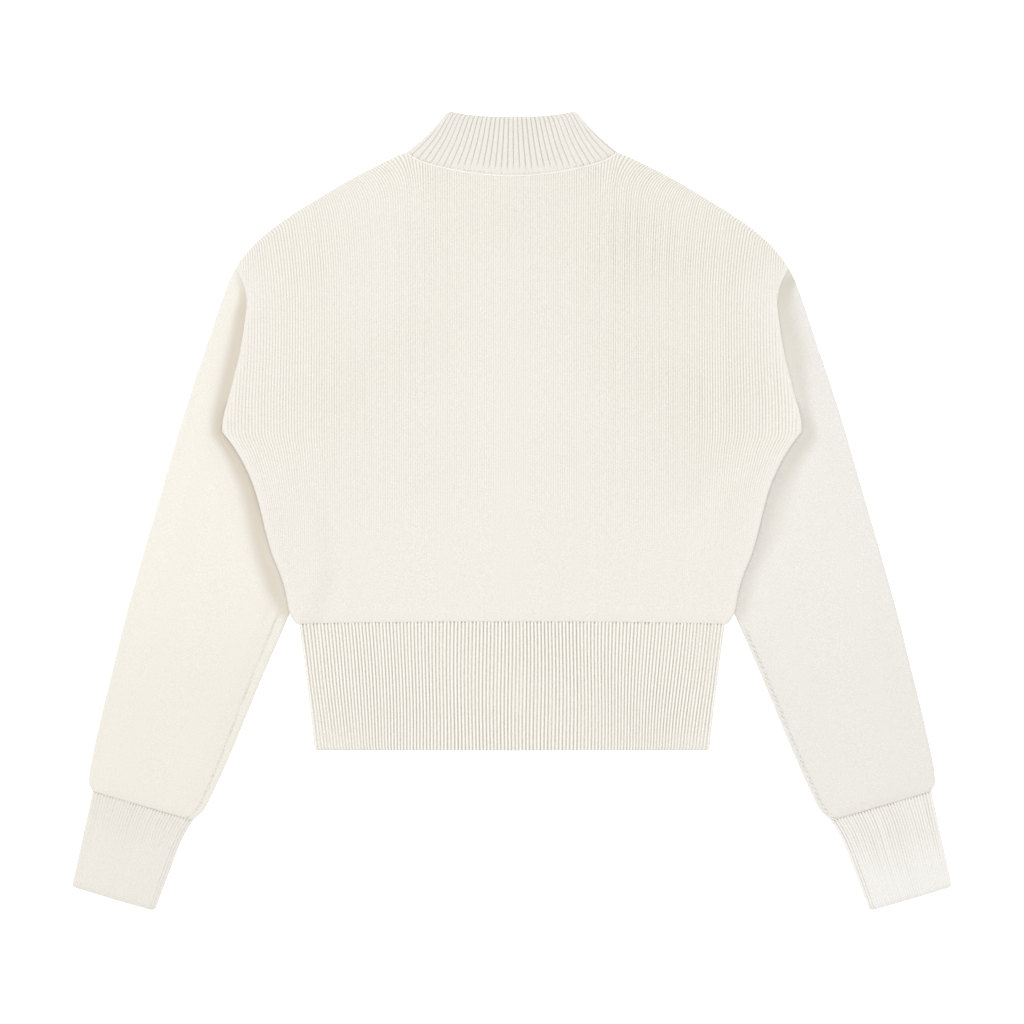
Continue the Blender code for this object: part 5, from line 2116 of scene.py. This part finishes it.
@dataclass
class Zip:
    """The closed zip: its tapes, teeth, box, stops, slider and pull tab."""

    cloth: bpy.types.Material
    metal: bpy.types.Material
    bottom: float = -201.5
    top: float = 289.0
    tape_inner: float = 3.2
    tape_outer: float = 16.0
    tape_low: float = 2.4
    tape_high: float = 2.9
    cord: float = 0.32
    thread: float = 0.5
    chain_low: float = 1.55
    chain_high: float = 3.75
    chain_bottom: float = -194.2
    tooth_pitch: float = 2.54
    box_length: float = 7.0
    slider_y: float = LIE.slider_y
    plate_levels: tuple[float, float, float, float] = (2.3, 3.05, 5.65, 6.4)
    tab_thickness: float = 1.0
    tab_half_width: float = 3.8
    tab_length: float = 24.0
    tab_axis: tuple[float, float, float] = (0.0, 281.5, 1.4)

    def tape(self, side: Side) -> None:
        """Weave the tape of one side, thicker along the edge that holds the teeth.

        Args:
            side: the side.
        """
        by_teeth, flat = (3.3, 3.5, 3.8, 4.1, 4.3, 4.6), (6.0, 8.5, 12.0, 15.6)
        across = np.array([self.tape_inner, *by_teeth, *flat, self.tape_outer])
        along = np.concatenate([np.linspace(self.bottom, 180.0, 40), np.linspace(184.0, self.top, 40)])
        x, y = across[None, :] + 0.0 * along[:, None], along[:, None] + 0.0 * across[None, :]
        rise = LIE.over_slider(x, y)
        bulge = self.cord * bell(x - 3.8, 0.5)
        lip = 0.1 * (x > self.tape_outer - 0.1)
        sign = side.value
        outer = np.stack([sign * x, y, self.tape_low + rise - bulge + lip], -1)
        inner = np.stack([sign * x, y, self.tape_high + rise + bulge - lip], -1)
        threads = np.stack([x, y], -1) / self.thread
        shell = Shell(f"zip_tape_{side.word}_woven", outer, inner, threads, False, (1, 1))
        cut = (self.tape_outer - self.tape_inner, self.top - self.bottom)
        tie_cloth(shell.build(self.cloth), f"zip_tape_{side.word}", cut, shell.flat_area(),
                  [f"front_{side.word}"])

    def tooth(self) -> bpy.types.Object:
        """One tooth: jaws on the tape's cord, a neck and a head.

        Returns:
            The tooth, lying at the origin.
        """
        outline = [(3.9, -0.55), (3.9, 0.55), (1.3, 0.6), (0.9, 0.42), (0.3, 0.42), (-0.1, 0.6), (-0.9, 0.6),
                   (-1.15, 0.3), (-1.15, -0.3), (-0.9, -0.6), (-0.1, -0.6), (0.3, -0.42), (0.9, -0.42),
                   (1.3, -0.6)]
        form = Casting("tooth")
        half = (self.chain_high - self.chain_low) / 2
        form.slab([(x, y + LAID_MIDDLE) for x, y in outline], -half, half, 0.12)
        return form.mesh_object(self.metal)

    def teeth(self) -> None:
        """Set the teeth in turn from the left and from the right."""
        tooth = self.tooth()
        nodes = NodeTree("zip_teeth")
        even = nodes.path(nodes.number("Pitch"))
        kind = nodes.size("Tooth", "NodeSocketObject")
        about_z = nodes.node("ShaderNodeCombineXYZ", {}, {2: nodes.odd_steps() * math.pi})
        one = nodes.node("GeometryNodeObjectInfo", {}, {"Object": kind, "As Instance": True})
        rows = nodes.node("GeometryNodeInstanceOnPoints", {},
                          {"Points": even, "Instance": one.outputs["Geometry"],
                           "Rotation": about_z.outputs[0]})
        tree = nodes.finish(rows.outputs[0], self.metal)
        y = np.linspace(self.chain_bottom + 0.9, self.slider_y, 120)
        middle = (self.chain_low + self.chain_high) / 2
        path = np.stack([0.0 * y, y, middle + LIE.over_slider(0.0 * y, y)], -1)
        sizes = {"Pitch": self.tooth_pitch / 2 * MM, "Tooth": tooth}
        chain = grown(path_object("zip_path", path), tree, sizes, "zip_teeth")
        bpy.data.objects.remove(tooth)
        tie(chain, "zip_chain")

    def ends(self) -> None:
        """The box at the bottom and the two stops at the top."""
        box = Casting("zip_box_metal")
        low = self.bottom
        half = self.tape_inner - LIE.gap
        high = low + self.box_length
        box.slab([(-half, low + 0.8), (-half + 0.8, low), (half - 0.8, low), (half, low + 0.8), (half, high),
                  (-half, high)], 1.2, 4.1, 0.35)
        box.slab([(-0.35, low + 1.2), (0.35, low + 1.2), (0.35, high - 1.0), (-0.35, high - 1.0)],
                 1.02, 1.4, 0.12)
        box.build(self.metal, "zip_box")
        rise = float(LIE.over_slider(np.zeros(1), np.array([self.top]))[0])
        for side in Side:
            stop = Casting(f"zip_stop_{side.word}_metal")
            ends = sorted((side.value * 0.4, side.value * 2.7))
            stop.slab([(ends[0], self.top - 2.4), (ends[1], self.top - 2.4), (ends[1], self.top),
                       (ends[0], self.top)], 1.7 + rise, 3.6 + rise, 0.45)
            stop.build(self.metal, f"zip_stop_{side.word}")

    def slider(self) -> None:
        """The slider: two shield-shaped plates with rims, the post between them, and the bail."""
        form = Casting("zip_slider_metal")
        y = self.slider_y
        right = [(0.0, y + 4.1), (1.4, y + 4.4), (4.5, y + 4.4), (5.3, y + 3.5), (5.3, y + 0.6),
                 (4.1, y - 3.9), (3.6, y - 4.4), (0.0, y - 4.4)]
        outline = right + [(-x, v) for x, v in right[-2:0:-1]]
        low, low_in, high_in, high = self.plate_levels
        form.slab(outline, low, low_in, 0.25)
        form.slab(outline, high_in, high, 0.25)
        form.slab([(-1.1, y + 1.2), (1.1, y + 1.2), (0.8, y + 3.4), (-0.8, y + 3.4)],
                  low_in - 0.2, high_in + 0.2, 0.1)
        for sign in (-1.0, 1.0):
            rim = [(sign * x, y + up) for x, up in ((5.25, 0.6), (5.25, 3.4), (4.55, 3.4), (4.55, 0.6),
                                                    (3.45, -3.8), (4.05, -3.8))]
            form.slab(rim, low_in - 0.3, low_in + 0.45, 0.12)
            form.slab(rim, high_in - 0.45, high_in + 0.3, 0.12)
        reach, bend, wire, thin, foot = 3.4, 0.9, 0.25, 0.55, low + 0.2
        tight = bend - thin
        corners = [(y - reach + bend, wire + bend), (y + reach - bend, wire + bend)]
        outer = [(y - reach, foot), *flat_arc(corners[0], (bend, bend), 180.0, 270.0, 6),
                 *flat_arc(corners[1], (bend, bend), 270.0, 360.0, 6), (y + reach, foot)]
        inner = [(y + reach - thin, foot), *flat_arc(corners[1], (tight, tight), 0.0, -90.0, 4),
                 *flat_arc(corners[0], (tight, tight), 270.0, 180.0, 4), (y - reach + thin, foot)]
        form.slab(outer + inner, -1.0, 1.0, 0.12, Casting.ON_EDGE)
        form.build(self.metal, "zip_slider")

    def pull_tab(self) -> None:
        """The pull tab: a fork on a round bar, with a raised rim and a round end."""
        form = Casting("zip_pull_metal")
        _, axis_y, axis_z = self.tab_axis
        half, thick = self.tab_half_width, self.tab_thickness / 2
        head, end = axis_y + 0.2, axis_y - self.tab_length
        eye, foot = 1.6, axis_y - 4.4
        round_end = flat_arc((0.0, end + 4.0), (half, 4.0), 180.0, 360.0, 18)
        slot = flat_arc((0.0, foot + eye), (eye, eye), 0.0, -180.0, 10)
        form.slab([(-half, head), *round_end, (half, head), (eye, head), *slot, (-eye, head)],
                  axis_z - thick, axis_z + thick, 0.2)
        grip = flat_arc((0.0, end + 4.2), (half - 1.1, 3.0), 180.0, 360.0, 14)
        for level in (axis_z - thick - 0.12, axis_z + thick - 0.05):
            form.slab([(-half + 1.1, foot - 2.6), *grip, (half - 1.1, foot - 2.6)], level, level + 0.17, 0.07)
        form.rod((0.0, axis_y, axis_z), half - 0.1, 0.42)
        form.build(self.metal, "zip_pull", "pull_tab")

    def build(self) -> None:
        """Make the whole zip."""
        for side in Side:
            self.tape(side)
        self.teeth()
        self.ends()
        self.slider()
        self.pull_tab()


@dataclass
class Studio:
    """The plain floor, the soft light and the camera straight above."""

    middle_y: float = -LAID_MIDDLE
    view_width: float = 870.4
    lens: float = 120.0
    sensor: float = 36.0
    aim_height: float = 5.0
    floor_size: float = 9.0
    floor_level: float = -0.0004
    daylight: float = 0.785
    lamp_colour: tuple[float, float, float] = (1.0, 0.995, 0.985)
    far: float = 30.0

    def floor(self) -> None:
        """Lay the floor."""
        half = self.floor_size / 2
        mesh = bpy.data.meshes.new("floor")
        corners = [(-half, -half), (half, -half), (half, half), (-half, half)]
        mesh.from_pydata([(x, y, self.floor_level) for x, y in corners], [], [(0, 1, 2, 3)])
        mesh.materials.append(PaperFinish().material())
        put("floor", mesh)

    def light(self) -> None:
        """Hang the lights and light the room."""
        world = bpy.data.worlds.new("room")
        bpy.context.scene.world = world
        world.use_nodes = True
        sky = world.node_tree.nodes["Background"]
        sky.inputs[0].default_value = (1.0, 1.0, 1.0, 1.0)
        sky.inputs[1].default_value = self.daylight
        lamps = (("overhead", (0.0, 0.3, 3.6), 2.2, 48.0), ("key", (-2.4, 1.7, 2.2), 1.6, 17.4),
                 ("fill", (2.8, -0.6, 2.2), 1.6, 3.0))
        for name, place, size, power in lamps:
            lamp = bpy.data.lights.new(name, "AREA")
            lamp.size = size
            lamp.energy = power
            lamp.color = self.lamp_colour
            obj = put(name, lamp)
            obj.location = place
            obj.rotation_euler = (-Vector(place)).to_track_quat("-Z", "Y").to_euler()

    def camera(self) -> None:
        """Set the camera straight above the garment."""
        data = bpy.data.cameras.new("above")
        data.lens = self.lens
        data.sensor_width = self.sensor
        data.clip_end = self.far
        obj = put("above", data)
        away = self.view_width * self.lens / self.sensor + self.aim_height
        obj.location = Vector((0.0, self.middle_y, away)) * MM
        bpy.context.scene.camera = obj
        bpy.context.scene.view_settings.view_transform = "Standard"

    def build(self) -> None:
        """Set up the studio."""
        self.floor()
        self.light()
        self.camera()


def main() -> None:
    """Build every piece in order and report it."""
    logging.basicConfig(level=logging.INFO, format="%(message)s")
    Studio().build()
    body_knit = KnitFinish("body_knit").material()
    # The sleeves, cuffs, waistband and collar are the body's yarn; their colours are lit and shaded copies of
    # it, painted light and shade set piece by piece, each sleeve with its own painted shade colour
    left_sleeve_knit = KnitFinish("left_sleeve_knit", (0.823, 0.796, 0.729), valley=(0.62, 0.562, 0.474))
    right_sleeve_knit = KnitFinish("right_sleeve_knit", (0.811, 0.790, 0.750), valley=(0.588, 0.562, 0.49),
                                   speckle=1.3)
    sleeve_knits = {Side.LEFT: left_sleeve_knit.material(), Side.RIGHT: right_sleeve_knit.material()}
    rib_knit = KnitFinish("rib_knit", (0.935, 0.925, 0.878), mottle=0.3).material()
    collar_knit = KnitFinish("collar_knit", (0.775, 0.753, 0.701)).material()
    cuff_knits = {Side.LEFT: KnitFinish("left_cuff_knit", (0.776, 0.743, 0.687)).material(),
                  Side.RIGHT: KnitFinish("right_cuff_knit", (0.846, 0.827, 0.793)).material()}
    back = BodyPanel("back_panel", Line(BACK_NECK), 0.0, Layer.UPPER, (Side.LEFT, Side.RIGHT), body_knit,
                     ("front_left", "front_right"))
    back.build()
    for side in Side:
        BodyPanel(f"front_{side.word}", Line(FRONT_NECK), FRONT_EDGE, Layer.LOWER, (side,), body_knit,
                  rib=Rib((0.0, 0.5), 0.8), wales=111, inner_steps=(1, 2), climb_rows=28, hem_rows=20).build()
    seams = {Side.LEFT: StitchRow(3.4, 2.9, 0.8, 0.7, 0.35, 1.0, 0.3, 0.3, 6),
             Side.RIGHT: StitchRow(5.0, 8.0, 1.6, 1.5, 0.25, 0.0, 0.1, 0.25, 12)}
    for side in Side:
        sleeve = Sleeve(side, sleeve_knits[side], SLEEVE_FORMS[side])
        sleeve.build()
        seams[side].build(f"sleeve_seam_{side.word}", sleeve.seam, sleeve_knits[side], "knit")
    Cuff(Side.LEFT, cuff_knits[Side.LEFT], depth=0.52, groove_shade=0.11, hole_shade=0.34).build()
    Cuff(Side.RIGHT, cuff_knits[Side.RIGHT], plain=0.44, fade_from=0.24, fade_over=0.55).build()
    waistband(rib_knit).build()
    collar(collar_knit).build()
    chain = StitchRow(2.05, 2.5, 1.15, 0.8, 0.1, 1.0, 0.08, 0.12, 3)
    chain.build("neck_chain", back.neck_chain(), rib_knit, "knit")
    Zip(TapeFinish("tape_weave").material(), MetalFinish("zip_nickel").material()).build()


if __name__ == "__main__":
    main()
